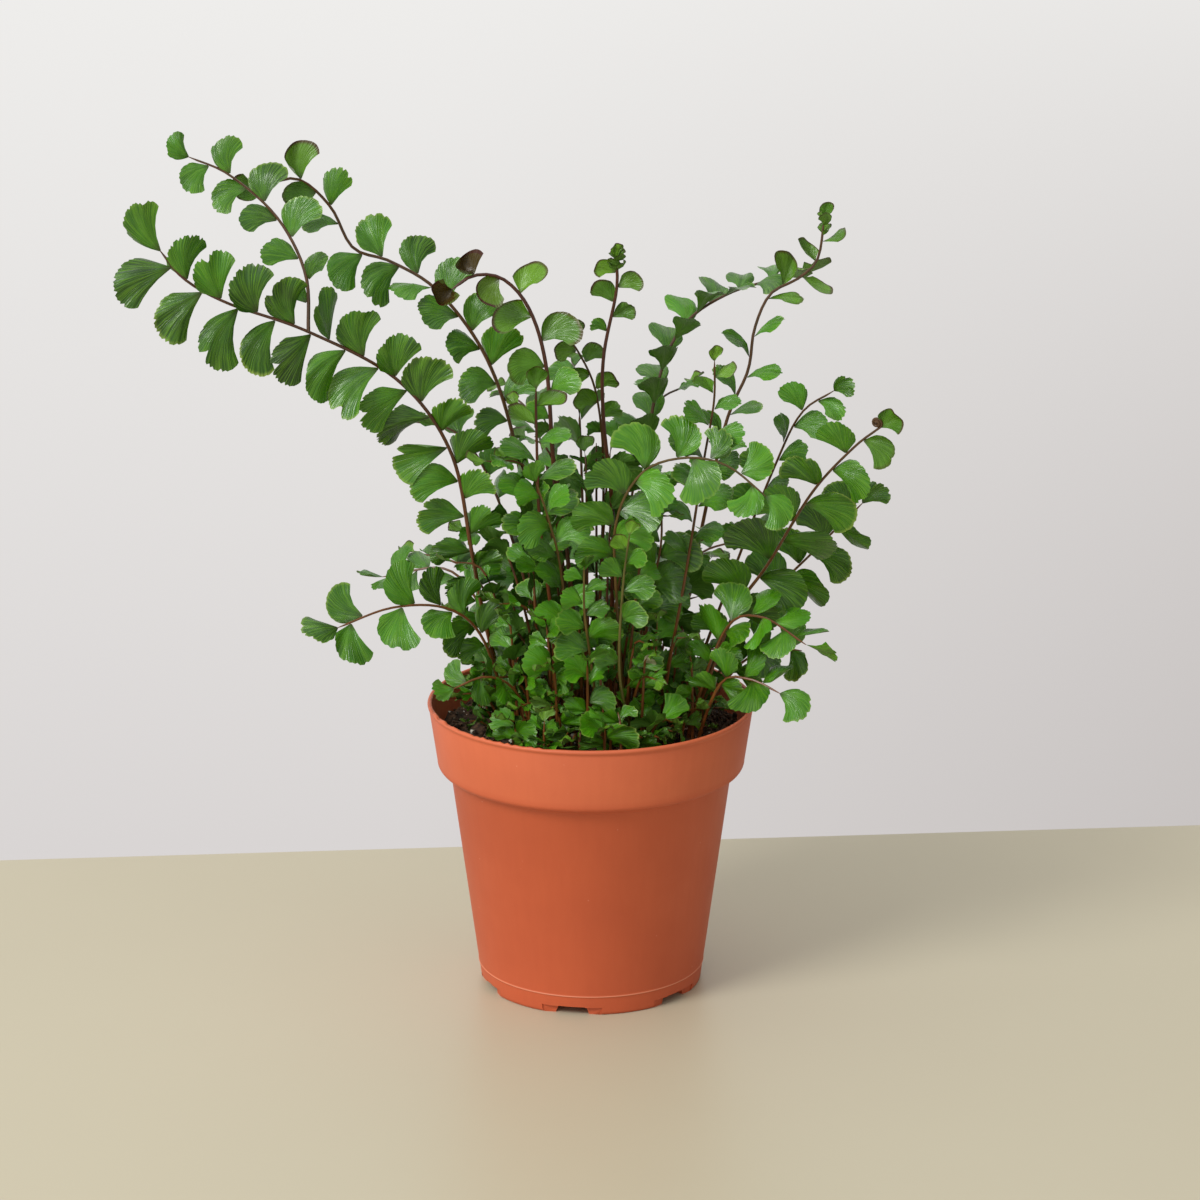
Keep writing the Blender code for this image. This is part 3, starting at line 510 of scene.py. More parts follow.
# How a rib stands in the soil, how far feet keep apart, and how thick it is there and at its tip
FOOT_DEPTH = 8.0
FOOT_RISE = 2.0
HOLE_SPACING = 4.0
STIPE_SPACING = 1.8
RIB_WIDTH = 1.5
TIP_SHARE = 0.6
SAMPLES = 12
# How much of a rib stays bare at its foot and before its tip, and how it is read in steps
FORK_BARE = 2.0
BARE_AT_ROOTS = 2.4
LEAST_STIPE = 1.2
LAST_ROOT = 2.0
STIPE_STEP = 20.0
LEAFY_STEP = 8.0
# The flat leaflet of the solids: its outline, and how far it is cupped and tilted
ROOT_SHARE = 0.05
FAN_SKEW = 4.0
LARGE_LEAFLET = 14.5
SCALLOP = 0.92
LONGEST_AT = -0.45
BASAL_SHORT = 0.12
TIPWARD_SHORT = 0.50
CUP = 0.12
SAG = 0.05
MOST_TILT = 75.0
# Room that is kept for the edge, the ribs and the blades of the solids, and for the thinner filling
EDGE_ROOM = 0.5
RIB_ROOM = 2.2
BLADE_ROOM = 1.4
THIN_ROOM = 0.6
# What is tried in turn until a leaflet or a ring's frond is clear
TURNS = (0, 24, -24, 48, -48, 72)
SHRINKS = (1.0, 0.78)
NUDGES = (0, 3, -3, 6, -6, 9, -9, 12, -12)
# Looks of the rings' fronds
RING_TONE = 0.22
RING_RAGGED = 1.4
# Shares of the way out and of the rise, at the points of a ring frond's line
RING_LINE = ((0.15, 0.52), (0.5, 0.94), (1.0, 1.0))


class Frond(NamedTuple):
    """One frond, as the solids have it. Its rib rises from foot through the points of line.

    leaf is the length of its largest leaflet, count how many it has below the one at its tip, and
    bare the share of the rib below the first. face is where the frond looks. lean is how far the
    leaflets on the left and on the right point to the tip, and fan half the spread of their blades.
    tilt is how far blades on an upright rib are turned to the sky, lift how far they rise off the
    rib, and taper how much smaller the last ones are. on names the frond that a fork grows from,
    wild is how much the leaflets' directions vary, first the share of the full size that the lowest
    has, and right_size how large those on the right are against those on the left. young is the
    share of leaflets, from the tip down, that are still young, green how green the rib is, tone how
    light the blades are, stem how thick the rib is, browned the share of leaflets from the tip down
    that have turned brown, coil the radius of the coil that the rib's tip is still rolled up in,
    ragged how deeply the blades are lobed and how far they are cupped, and buds the number of tiny
    blades that are still folded round the tip.
    """

    name: str
    foot: tuple
    line: tuple
    leaf: float
    count: int
    bare: float
    face: tuple = (0.0, -1.0, 0.3)
    lean: tuple = (34.0, 34.0)
    fan: tuple = (46.0, 46.0)
    tilt: float = 15.0
    lift: float = 8.0
    taper: float = 0.5
    on: str = ""
    wild: float = 1.0
    first: float = 0.72
    right_size: float = 1.0
    young: float = 0.1
    green: float = 0.2
    tone: float = 0.0
    stem: float = 1.2
    browned: float = 0.0
    coil: float = 0.0
    ragged: float = 0.5
    buds: int = 0


NAMED_FRONDS = (
    Frond("left_arch", (-27, 8), ((-34, 5, 119), (-38, 1, 144), (-44, -3, 177), (-60, -10, 202),
          (-87, -17, 219), (-111, -22, 229), (-124, -24, 237), (-131, -25, 246)),
          20.5, 29, 0.16, (0, -1, 0.1), (20, 50), (31, 40), 4, 6, 0.1, wild=0.4, first=0.5,
          right_size=0.82, young=0.0, green=0.1, tone=-0.15, stem=1.5, ragged=1.0),
    Frond("left_arch_fork", (-86, -17, 219), ((-88, -11, 236), (-97, -3, 252), (-112, 4, 264),
          (-125, 8, 269)),
          13.5, 9, 0.10, (-0.2, -0.8, 0.6), (36, 44), (44, 44), 20, 10, 0.3, on="left_arch", wild=0.8,
          young=0.0, tone=-0.1),
    Frond("upper_left", (-17, 15), ((-20, 12, 138), (-24, 11, 175), (-33, 12, 204), (-48, 14, 225),
          (-63, 17, 234), (-75, 19, 238), (-82, 20, 251), (-92, 19, 260), (-103, 17, 258)),
          15.5, 19, 0.45, (0, -0.75, 0.6), (32, 44), (42, 42), 24, 8, 0.3, young=0.2, tone=-0.05,
          stem=1.6),
    Frond("tall_red", (-6, 5), ((-9, 3, 130), (-12, 0, 175), (-14, 0, 204), (-19, 0, 222),
          (-27, -1, 232), (-36, -4, 234), (-43, -6, 230)),
          13.5, 8, 0.60, (0, -1, 0.2), (26, 26), (46, 46), 40, 10, 0.4, young=0.9, green=0.0, stem=1.9,
          browned=0.3),
    Frond("short_red", (-12, -6), ((-12, -8, 120), (-16, -9, 155), (-17, -10, 188), (-17, -12, 200)),
          14.5, 10, 0.46, (0, -1, 0.2), (24, 24), (42, 42), 82, 8, 0.4, wild=0.6, young=0.3, green=0.0,
          stem=1.5),
    Frond("bud_spire", (6, 6), ((7, 6, 150), (4, 6, 185), (4, 5, 206), (8, 5, 227), (8, 4, 238)),
          8.5, 5, 0.84, (0, -1, 0.1), (38, 38), (40, 40), 10, 12, 0.4, young=1.0, green=0.0, stem=1.8,
          buds=9),
    Frond("curled_tip", (1, 19), ((4, 18, 158), (2, 15, 190), (-4, 12, 206), (-10, 9, 214)),
          8.5, 8, 0.70, (0, -1, 0.3), (36, 36), (44, 44), 20, 12, 0.2, young=1.0, browned=0.12, coil=1.6,
          buds=7),
    Frond("right_arch", (14, 17), ((17, 20, 150), (20, 23, 186), (28, 27, 209), (44, 34, 220),
          (68, 43, 225)),
          15.5, 18, 0.42, (0, 0.1, 1), (34, 34), (36, 36), 80, 4, 0.3, wild=0.6, tone=0.05, stem=1.5),
    Frond("right_tall", (25, 12), ((35, 16, 144), (43, 18, 181), (50, 20, 198), (52, 22, 211),
          (57, 24, 222), (66, 25, 227), (72, 26, 233), (74, 28, 245)),
          13.5, 14, 0.46, (0, -1, 0.3), (30, 30), (36, 36), 78, 8, 0.5, wild=0.6, young=0.45, stem=1.5,
          buds=4),
    Frond("front_spire", (21, -9), ((29, -14, 135), (35, -20, 178), (38, -23, 198), (38, -26, 212)),
          14.0, 12, 0.48, (0, -1, 0.2), (26, 26), (42, 42), 82, 8, 0.6, wild=0.6, young=0.2, tone=0.1),
    Frond("right_inner", (29, 4), ((46, 3, 138), (58, -1, 172), (66, -4, 190), (76, -7, 198)),
          12.5, 10, 0.50, (0, -1, 0.3), (34, 34), (42, 42), 62, 8, 0.3, young=0.0),
    Frond("right_fan", (33, -4), ((45, -6, 124), (56, -11, 143), (69, -18, 168), (81, -25, 184),
          (89, -30, 192)),
          17.5, 12, 0.26, (0.1, -1, 0.3), (34, 34), (46, 46), 8, 6, 0.5, wild=0.6, young=0.1, tone=-0.05,
          stem=1.4, coil=1.7),
    Frond("right_behind", (36, 20), ((57, 21, 121), (72, 18, 139), (87, 14, 156)),
          14.0, 9, 0.38, (0, -1, 0.4), (34, 34), (46, 46), 14, 8, 0.3, young=0.0, tone=-0.1),
    Frond("right_low", (31, -13), ((42, -19, 123), (53, -26, 130), (67, -33, 123)),
          14.0, 11, 0.36, (0, -0.7, 1), (34, 34), (44, 44), 6, 6, 0.2, young=0.0, tone=0.3),
    Frond("right_rim", (38, 11), ((48, 13, 102), (59, 11, 108), (68, 9, 108)),
          12.0, 8, 0.30, (0, -1, 0.4), (36, 36), (46, 46), 4, 6, 0.1, young=0.0, tone=-0.1),
    Frond("front_rim", (34, -19), ((41, -25, 108), (50, -31, 111), (59, -36, 108)),
          12.5, 8, 0.42, (0, -1, 0.7), (34, 34), (48, 48), 4, 6, 0.1, young=0.0),
    Frond("left_low", (-26, -5), ((-34, -9, 117), (-45, -14, 129), (-62, -21, 131.5), (-79, -28, 127)),
          14.0, 13, 0.34, (0, -0.9, 0.6), (30, 40), (44, 44), 4, 6, 0.05, wild=0.6, young=0.0, tone=-0.15),
    Frond("left_shelf", (-25, 17), ((-33, 19, 114), (-46, 23, 131), (-68, 29, 127)),
          12.0, 11, 0.38, (0, -0.5, 1), (34, 34), (42, 42), 10, 6, 0.2, young=0.0, tone=-0.1),
    Frond("left_soil", (-18, -17), ((-24, -20, 104), (-33, -25, 110), (-43, -28, 107)),
          10.0, 6, 0.36, (0, -0.8, 0.8), (32, 32), (48, 48), 6, 6, 0.2, young=0.0),
    Frond("front_arch", (11, -15), ((8, -23, 136), (8, -26, 161), (16, -28, 177), (29, -29, 182),
          (42, -31, 180), (54, -34, 171)),
          15.5, 14, 0.46, (0, -1, 0.5), (28, 36), (48, 48), 4, 4, 0.3, wild=0.7, young=0.0, green=0.5,
          tone=0.1),
    Frond("front_pale", (-5, -15), ((-9, -19, 140), (-13, -22, 160), (-17, -24, 173)),
          13.5, 9, 0.44, (0, -1, 0.4), (30, 30), (46, 46), 56, 8, 0.4, young=0.0, green=0.5, tone=0.25),
    Frond("front_small", (3, -20), ((0, -24, 115), (-2, -27, 132), (-2, -29, 147)),
          11.0, 9, 0.38, (0, -1, 0.5), (30, 30), (46, 46), 46, 8, young=0.0, green=0.7, tone=0.15),
    Frond("front_yellow", (13, -24), ((9, -27, 112), (10, -29, 140), (12, -31, 158)),
          10.5, 9, 0.40, (0, -1, 0.5), (30, 30), (46, 46), 50, 8, young=0.2, green=1.0, tone=0.25),
    Frond("middle_shade", (18, 0), ((18, -4, 125), (22, -10, 148), (22, -14, 166)),
          14.5, 9, 0.38, (0, -1, 0.5), (32, 32), (46, 46), 52, 8, 0.4, young=0.0),
)


class Ring(NamedTuple):
    """A ring of fronds round the pot, that a rule places: feet on a circle, tips further out.

    turn is the bearing of the first frond and step the angle to the next, in degrees from +X. foot
    holds the distances of every other foot from the pot's axis, reach the least and the most of the
    tips' distance from it, rise the least and the most of their height above the soil, outward
    how far the blades look away from the pot's axis, and wild how much their directions vary. The
    rest is as for a frond.
    """

    name: str
    fronds: int
    turn: float
    step: float
    foot: tuple
    reach: tuple
    rise: tuple
    leaf: float
    count: int
    bare: float
    tilt: float
    outward: float = 0.5
    wild: float = 1.0


RINGS = (
    Ring("back_low", 5, 42, 25, (26, 32), (62, 82), (34, 60), 12.5, 8, 0.34, 14),
    Ring("back_high", 4, 52, 32, (12, 16), (46, 72), (84, 116), 13.0, 8, 0.46, 52),
    Ring("front_tuft", 5, 208, 30, (27, 23), (29, 38), (32, 54), 10.5, 7, 0.34, 30),
    Ring("skirt", 12, 205, 24, (30, 35), (38, 44), (12, 22), 10.5, 4, 0.20, 16),
)
# Small fronds that only the scene has, which fill the gaps between those of the solids
FILLING = (
    Ring("low_fill", 34, 190, 10.6, (22, 36), (26, 42), (8, 30), 8.8, 9, 0.16, 20, 0.9, 1.6),
    Ring("rim_fill", 16, 201, 22.5, (33, 29), (36, 43), (6, 16), 8.5, 7, 0.10, 10, 0.9, 1.6),
    Ring("tuft_fill", 26, 200, 6.0, (20, 28), (22, 38), (14, 34), 8.8, 9, 0.16, 20, 1.0, 1.6),
    Ring("ground_fill", 26, 203, 5.6, (31, 25), (34, 40), (5, 12), 7.8, 7, 0.05, 0, 1.1, 1.6),
    Ring("mid_fill", 24, 197, 15, (12, 24), (16, 46), (30, 74), 11.5, 9, 0.32, 60, 0.5, 1.6),
    Ring("high_fill", 20, 210, 18, (5, 17), (6, 44), (62, 106), 12.5, 9, 0.44, 68, 0.5, 1.4),
)


def unit(vector):
    """The vector over its length."""
    return vector / np.linalg.norm(vector)


def ring_frond(ring, i, nudge):
    """Frond number i of a ring, moved nudge degrees round the pot, with its own draw of a size."""
    draw = random.Random(f"{ring.name}_{i}")
    bearing = math.radians(ring.turn + ring.step * i + nudge)
    out = np.array((math.cos(bearing), math.sin(bearing)))
    foot = out * ring.foot[i % 2]
    tip = out * draw.uniform(*ring.reach)
    rise = draw.uniform(*ring.rise)
    line = tuple((*(foot + (tip - foot) * share), SOIL_LEVEL + up * rise) for share, up in RING_LINE)
    face = (ring.outward * out[0], ring.outward * out[1], 1.0)
    name = f"{ring.name}_{i + 1}"
    return Frond(name, tuple(foot), line, ring.leaf, ring.count, ring.bare, face, tilt=ring.tilt,
                 wild=ring.wild, tone=RING_TONE, ragged=RING_RAGGED)


def rib_points(frond):
    """The rib as close-set points: straight up out of the soil, then a Catmull-Rom curve. A fork
    starts in the rib that it grows on, at the point nearest to its foot."""
    if frond.on:
        stem = rib_points(next(other for other in NAMED_FRONDS if other.name == frond.on))
        start = min(stem, key=lambda point: np.linalg.norm(point - np.array(frond.foot)))
        below = start - (np.array(frond.line[0]) - start) * 0.5
    else:
        start = np.array((*frond.foot, height_of_soil(*frond.foot) + FOOT_RISE))
        below = start - (0.0, 0.0, FOOT_DEPTH + FOOT_RISE)
    knots = np.array([below, start, *frond.line, frond.line[-1]], float)
    knots[-1] += knots[-2] - knots[-3]
    t = (np.arange(SAMPLES) / SAMPLES)[:, None]
    points = [] if frond.on else [knots[:1]]
    for a, b, c, d in zip(knots, knots[1:], knots[2:], knots[3:]):
        bend = 2 * a - 5 * b + 4 * c - d + t * (3 * (b - c) + d - a)
        points.append(b + 0.5 * t * (c - a + t * bend))
    return np.vstack([*points, knots[-2:-1]])


class Rib:
    """A frond's rib, read by the distance along it from its lower end."""

    def __init__(self, frond):
        self.points = rib_points(frond)
        steps = np.linalg.norm(np.diff(self.points, axis=0), axis=1)
        self.distances = np.concatenate([[0.0], np.cumsum(steps)])
        self.length = float(self.distances[-1])
        self.face = unit(np.array(frond.face))
        foot_length = FORK_BARE if frond.on else FOOT_DEPTH + FOOT_RISE
        self.bare_length = foot_length + (self.length - foot_length) * frond.bare
        bare_end = max(self.bare_length - BARE_AT_ROOTS, foot_length + LEAST_STIPE)
        bends = max(1, round((bare_end - foot_length) / STIPE_STEP))
        self.stipe = [0.0, *np.linspace(foot_length, bare_end, bends + 1)]

    def point(self, s):
        return np.array([np.interp(s, self.distances, self.points[:, k]) for k in range(3)])

    def axes(self, s):
        """(along, right, face) at distance s: along the rib, to its right, and where the blades look."""
        along = unit(self.point(min(s + 2.0, self.length)) - self.point(max(s - 2.0, 0.0)))
        right = unit(np.cross(along, self.face))
        return along, right, np.cross(right, along)

    def half_width(self, s):
        return 0.5 * RIB_WIDTH * (1.0 - (1.0 - TIP_SHARE) * s / self.length)


def fan_reach(t):
    """How far a blade reaches at t, from -1 at its edge towards the foot to 1 at its edge towards the
    tip: 1 at LONGEST_AT, and less by a square on each side."""
    basal = BASAL_SHORT * (np.clip(LONGEST_AT - t, 0.0, None) / (1.0 + LONGEST_AT)) ** 2
    return 1.0 - basal - TIPWARD_SHORT * (np.clip(t - LONGEST_AT, 0.0, None) / (1.0 - LONGEST_AT)) ** 2


class Leaflet(NamedTuple):
    """A fan-shaped blade: its place in the frond, its root, its three directions, size and spread."""

    share: float
    root: np.ndarray
    out: np.ndarray
    up: np.ndarray
    face: np.ndarray
    size: float
    fan: float
    seed: str


def swing(a, b, angle):
    """Two directions at right angles, turned in their plane: a towards b, and b away from a."""
    return a * math.cos(angle) + b * math.sin(angle), b * math.cos(angle) - a * math.sin(angle)


def leaflet(frond, rib, i, draw, shrink, turn):
    """The frond's leaflet number i, counted from below, made smaller by shrink, and turned by turn
    degrees about its middle."""
    share = i / frond.count
    at_tip = i == frond.count
    s = rib.bare_length + (rib.length - rib.bare_length) * share
    s = rib.length if at_tip else min(s, rib.length - LAST_ROOT)
    side = 0 if at_tip else (1 if i % 2 else -1)
    size = frond.leaf * min(1.0, frond.first + share) * (1.0 - frond.taper * share**3)
    size *= (1.0 + draw["size"]) * shrink * (frond.right_size if side > 0 else 1.0)
    along, right, face = rib.axes(s)
    lean = math.radians(90.0 if at_tip else frond.lean[side > 0] + draw["lean"])
    outward = right * (side or 1)
    out = outward * math.cos(lean) + along * math.sin(lean)
    up = along * math.cos(lean) - outward * math.sin(lean)
    tilt = (0.0 if at_tip else frond.tilt * max(along[2], 0.0)) + draw["tilt"] + turn
    face, up = swing(face, up, math.radians(max(-MOST_TILT, min(MOST_TILT, tilt))))
    lift = math.radians(frond.lift + draw["lift"])
    out, face = swing(out, face, lift)
    root = rib.point(s) + right * side * rib.half_width(s)
    return Leaflet(share, root, out, up, face, size, frond.fan[side > 0], f"{frond.name}_{i}")


def draws_for(frond):
    """Small differences between the leaflets of a frond, the same as the solids have. The filling's
    leaflets, whose fronds are wilder, also differ more in size."""
    draw = random.Random(frond.name)
    most = {"size": 0.1 * max(1.0, frond.wild) ** 2}
    most.update({"lean": 9.0 * frond.wild, "tilt": 24.0 * frond.wild, "lift": 16.0 * frond.wild})
    return [{k: draw.uniform(-v, v) for k, v in most.items()} for _ in range(frond.count + 1)]


class Body(NamedTuple):
    """Something that a leaflet keeps clear of: a ball round it, and its faces."""

    owner: str
    centre: np.ndarray
    reach: float
    tree: BVHTree


def body_of(owner, points, faces):
    """The ball's centre is the mean of the points, and its radius the distance to the furthest."""
    centre = points.mean(0)
    reach = float(np.linalg.norm(points - centre, axis=1).max())
    return Body(owner, centre, reach, BVHTree.FromPolygons(points.tolist(), faces))


def prism_body(owner, outline, normal, half):
    """A flat body round an outline, half thick on each side of it."""
    n = len(outline)
    outline = np.array(outline)
    faces = [(0, k, k + 1) for k in range(1, n - 1)]
    faces += [(n, n + k + 1, n + k) for k in range(1, n - 1)]
    faces += [(k, k + n, (k + 1) % n + n, (k + 1) % n) for k in range(n)]
    return body_of(owner, np.vstack([outline + normal * half, outline - normal * half]), faces)


def leaflet_body(owner, leaf, room, edge_room):
    """A flat body round the blade as its solid has it, without its root, room thick, and edge_room
    wider all round."""
    points = 7 if leaf.size > LARGE_LEAFLET else 5
    t = np.linspace(-1.0, 1.0, points)[:, None]
    scallop = np.where(np.arange(points) % 2, 1.0, SCALLOP)[:, None]
    angle = np.radians(leaf.fan * t + FAN_SKEW)
    radius = leaf.size * scallop * fan_reach(t)
    rim = leaf.root + radius * (np.cos(angle) * leaf.out + np.sin(angle) * leaf.up)
    rim -= leaf.size * (CUP * t * t + SAG) * leaf.face
    base = leaf.root + ROOT_SHARE * (rim.mean(0) - leaf.root)
    rim += edge_room * (rim - leaf.root) / np.linalg.norm(rim - leaf.root, axis=1)[:, None]
    return prism_body(owner, (base, *rim), leaf.face, 0.5 * room)


def rib_bodies(frond, rib, room):
    """The rib as a row of short flat bodies, room wide."""
    leafy = rib.length - rib.stipe[-1]
    stations = [*rib.stipe, *np.linspace(rib.stipe[-1], rib.length, round(leafy / LEAFY_STEP) + 2)[1:]]
    half = 0.5 * room
    for s0, s1 in zip(stations, stations[1:]):
        right = rib.axes(0.5 * (s0 + s1))[1] * half
        a, b = rib.point(s0), rib.point(s1)
        yield prism_body(frond.name, (a - right, b - right, b + right, a + right), rib.axes(s0)[2], half)


def is_clear(body, others):
    """Whether no face of the body crosses a face of another. Those whose balls are apart are passed."""
    for other in others:
        near = np.linalg.norm(other.centre - body.centre) < other.reach + body.reach
        if near and body.tree.overlap(other.tree):
            return False
    return True


def place_rings(fronds, bodies, rings, room, spacing):
    """Adds each ring's fronds, nudged round the pot until the rib is clear of the rest and its foot is
    further than spacing from theirs. One that no nudge clears is left out."""
    for ring in rings:
        for i in range(ring.fronds):
            for nudge in NUDGES:
                frond = ring_frond(ring, i, nudge)
                gap = min(math.dist(frond.foot, other.foot[:2]) for other in fronds)
                ribs = list(rib_bodies(frond, Rib(frond), room))
                plants = [body for body in bodies if body.owner not in ("pot", "soil")]
                if gap > spacing and all(is_clear(body, plants) for body in ribs):
                    fronds.append(frond)
                    bodies += ribs
                    break


def grow(fronds, bodies, room, edge_room):
    """Leaflets for each frond. One that would cross another piece is turned about its middle, and
    made smaller, until it is clear, and left out if neither helps."""
    grown = {}
    for frond in fronds:
        rib = Rib(frond)
        others = [body for body in bodies if body.owner != frond.name]
        leaflets = []
        for i, draw in enumerate(draws_for(frond)):
            for shrink, turn in itertools.product(SHRINKS, TURNS):
                leaf = leaflet(frond, rib, i, draw, shrink, turn)
                body = leaflet_body(frond.name, leaf, room, edge_room)
                if is_clear(body, others):
                    leaflets.append(leaf)
                    others.append(body)
                    bodies.append(body)
                    break
        grown[frond.name] = (frond, rib, leaflets)
    return grown


def solid_body(name):
    """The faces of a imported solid, in mm, for leaflets to keep clear of."""
    mesh = frame["nodes"][name].data
    points = np.array([vertex.co for vertex in mesh.vertices]) / MM
    return body_of(name, points, [tuple(face.vertices) for face in mesh.polygons])


def grow_all():
    """The fronds of the solids first, by their own rule, and then the filling in the gaps that are left."""
    fronds = list(NAMED_FRONDS)
    ribs = [body for frond in fronds for body in rib_bodies(frond, Rib(frond), RIB_ROOM)]
    place_rings(fronds, ribs, RINGS, RIB_ROOM, HOLE_SPACING)
    bodies = [solid_body("pot"), solid_body("soil"), *ribs]
    grown = grow(fronds, bodies, BLADE_ROOM, EDGE_ROOM)
    packed = len(fronds)
    place_rings(fronds, bodies, FILLING, THIN_ROOM, STIPE_SPACING)
    grown.update(grow(fronds[packed:], bodies, THIN_ROOM, -EDGE_ROOM))
    return grown


BLADE_THICKNESS = 0.26
SCALLOP_WIDTH = 1.6
SCALLOP_DEPTH = 0.5
SCALLOP_COLUMNS = 2
STALK_HALF = 0.28
CORNER_ROUND = (0.05, 0.35)
RIB_SIDES = 7
RIB_STEP = 3.0
RIB_TAPER = 0.45
COIL_TURNS = 1.6
COIL_POINTS = 21
BUD_SPREAD = 5.0
BUD_SIZE = (3.2, 5.2)
GOLDEN_ANGLE = math.radians(137.5)
BUD_FAN = 50.0
BLADE_SLOT = 0
RIB_SLOT = 1
# What a blade's colour is worked out from, kept as values on its points
TRAITS = ("shade", "age", "pale")
# The least leaf length in mm for so many rows of faces from a blade's root to its edge
BLADE_ROWS = ((16.0, 4), (11.0, 3), (0.0, 2))
# How long the toothed edge of a blade is, for each mm of its length
TOOTHED_EDGE = 1.35


def blade_looks(leaf, frond):
    """Random traits of one blade, drawn from its own seed: how it bends, waves and is coloured."""
    draw = random.Random(leaf.seed)
    age = min(1.0, max(0.0, leaf.share - 1.0 + frond.young) / max(0.35 * frond.young, 0.02))
    browned = min(1.0, max(0.0, leaf.share - 1.0 + frond.browned) / max(0.5 * frond.browned, 0.02))
    upright = frond.tilt / 90.0
    bend = draw.gauss(0.55 + 0.4 * upright, 0.3) * (1.0 - age)
    return {
        "bend": bend - age * draw.uniform(0.3, 1.2) - 1.6 * browned,
        "falcate": draw.uniform(0.05, 0.35),
        "wave": draw.uniform(0.02, 0.06) * (0.7 + 0.5 * frond.ragged) * (12.0 / leaf.size),
        "phase": draw.uniform(0.0, 6.28),
        "scallops": draw.uniform(0.4, 1.2) * (0.6 + 0.6 * frond.ragged) * (1.0 - 0.9 * age),
        "lobes": 0.2 * frond.ragged * draw.random() ** 2 * (1.0 - 0.7 * age) * (1.0 - 0.8 * upright),
        "lobe_count": draw.uniform(3.5, 7.0),
        "twist": draw.gauss(0.0, 0.32) * min(1.0, frond.wild) * (1.0 - age) * (1.0 - upright),
        "cup": draw.gauss(0.05, 0.04 + 0.07 * frond.ragged) - age * draw.uniform(0.1, 0.4) - 0.5 * browned,
        "broad": 0.95 + 0.2 * min(frond.ragged, 1.0),
        "round": CORNER_ROUND[0] + CORNER_ROUND[1] * upright,
        "age": age + browned,
        "shade": max(0.0, min(1.0, draw.random() * 0.8 + 0.1 + frond.tone)),
        # pale: how strong a blade's pale rim is, partly a paler margin and partly a painted edge highlight.
        "pale": min(1.0, 0.7 * draw.random() ** 3 + 0.05 * frond.ragged**2),
    }


def blade(leaf, looks, columns, rows):
    """A blade on a grid of v, from 0 at its root to 1 at its edge, and t, from -1 to 1 across.

    In its plane a point lies at distance size * v * fan_reach(t) from the root, shortened by the
    scallops' notches, by lobes and by t^8 at the corners, and at angle broad * fan * t * (0.76 +
    0.24 v), less a falcate bend that grows with v. Then the plane is bent to an arc along its middle,
    cupped by t^2, waved at its edge and twisted. The underside repeats the inner points, lower by a
    thickness that is nothing at the edge.
    """
    t, v = np.meshgrid(np.linspace(-1.0, 1.0, columns + 1), np.linspace(0.0, 1.0, rows + 1) ** 0.8)
    toothed = np.clip((t + 0.9) / 0.2, 0.0, 1.0) * np.clip((1.05 - t) / 0.1, 0.0, 1.0)
    notch = np.arange(columns + 1) % SCALLOP_COLUMNS == 0
    nick = SCALLOP_DEPTH / leaf.size * looks["scallops"] * (1.0 + 0.8 * np.sin(19.0 * t + looks["phase"]))
    tooth = 1.0 - nick * toothed * v**3 * notch
    cleft = np.clip(np.cos(looks["lobe_count"] * t + looks["phase"]), 0.0, 1.0) ** 9
    lobe = 1.0 - looks["lobes"] * toothed * v**2 * cleft
    radius = leaf.size * v * fan_reach(t) * tooth * lobe * (1.0 - looks["round"] * t**8)
    angle = np.radians(FAN_SKEW + looks["broad"] * leaf.fan * t * (0.76 + 0.24 * v))
    angle -= looks["falcate"] * (v**1.5 - 0.6)
    x = radius * np.cos(angle)
    y = radius * np.sin(angle) + STALK_HALF * t * (1.0 - v)
    bend = looks["bend"] if abs(looks["bend"]) > 0.02 else 0.02
    arc_x = leaf.size * np.sin(bend * x / leaf.size) / bend
    arc_z = -leaf.size * (1.0 - np.cos(bend * x / leaf.size)) / bend
    x = arc_x * math.cos(bend / 2) - arc_z * math.sin(bend / 2)
    z = arc_x * math.sin(bend / 2) + arc_z * math.cos(bend / 2)
    z -= leaf.size * looks["cup"] * t * t * v
    z += leaf.size * looks["wave"] * v**2 * np.sin(7.0 * t + 2.0 * v + looks["phase"])
    turn = looks["twist"] * v
    y, z = y * np.cos(turn) - z * np.sin(turn), y * np.sin(turn) + z * np.cos(turn)
    top = leaf.root + x[..., None] * leaf.out + y[..., None] * leaf.up + z[..., None] * leaf.face
    depth = BLADE_THICKNESS * (1.0 - t**4) * np.sqrt(np.sin(np.pi * v))
    under = (top - depth[..., None] * leaf.face)[1:-1, 1:-1]
    number = np.arange(top[..., 0].size).reshape(rows + 1, columns + 1)
    number_under = number.copy()
    number_under[1:-1, 1:-1] = number.size + np.arange(under[..., 0].size).reshape(rows - 1, columns - 1)
    cells = grid_faces(rows + 1, columns + 1, False)
    upper, lower = number.ravel()[cells], number_under.ravel()[cells][:, ::-1]
    uv = np.stack([0.5 + 0.5 * t, v], -1).reshape(-1, 2)
    uv_upper, uv_lower = uv[cells], uv[cells][:, ::-1] + (1.0, 0.0)
    if np.cross(leaf.out, leaf.up) @ leaf.face < 0.0:
        upper, lower, uv_upper, uv_lower = (a[:, ::-1] for a in (upper, lower, uv_upper, uv_lower))
    points = np.vstack([top.reshape(-1, 3), under.reshape(-1, 3)])
    return points, np.vstack([upper, lower]).tolist(), np.concatenate([uv_upper, uv_lower])


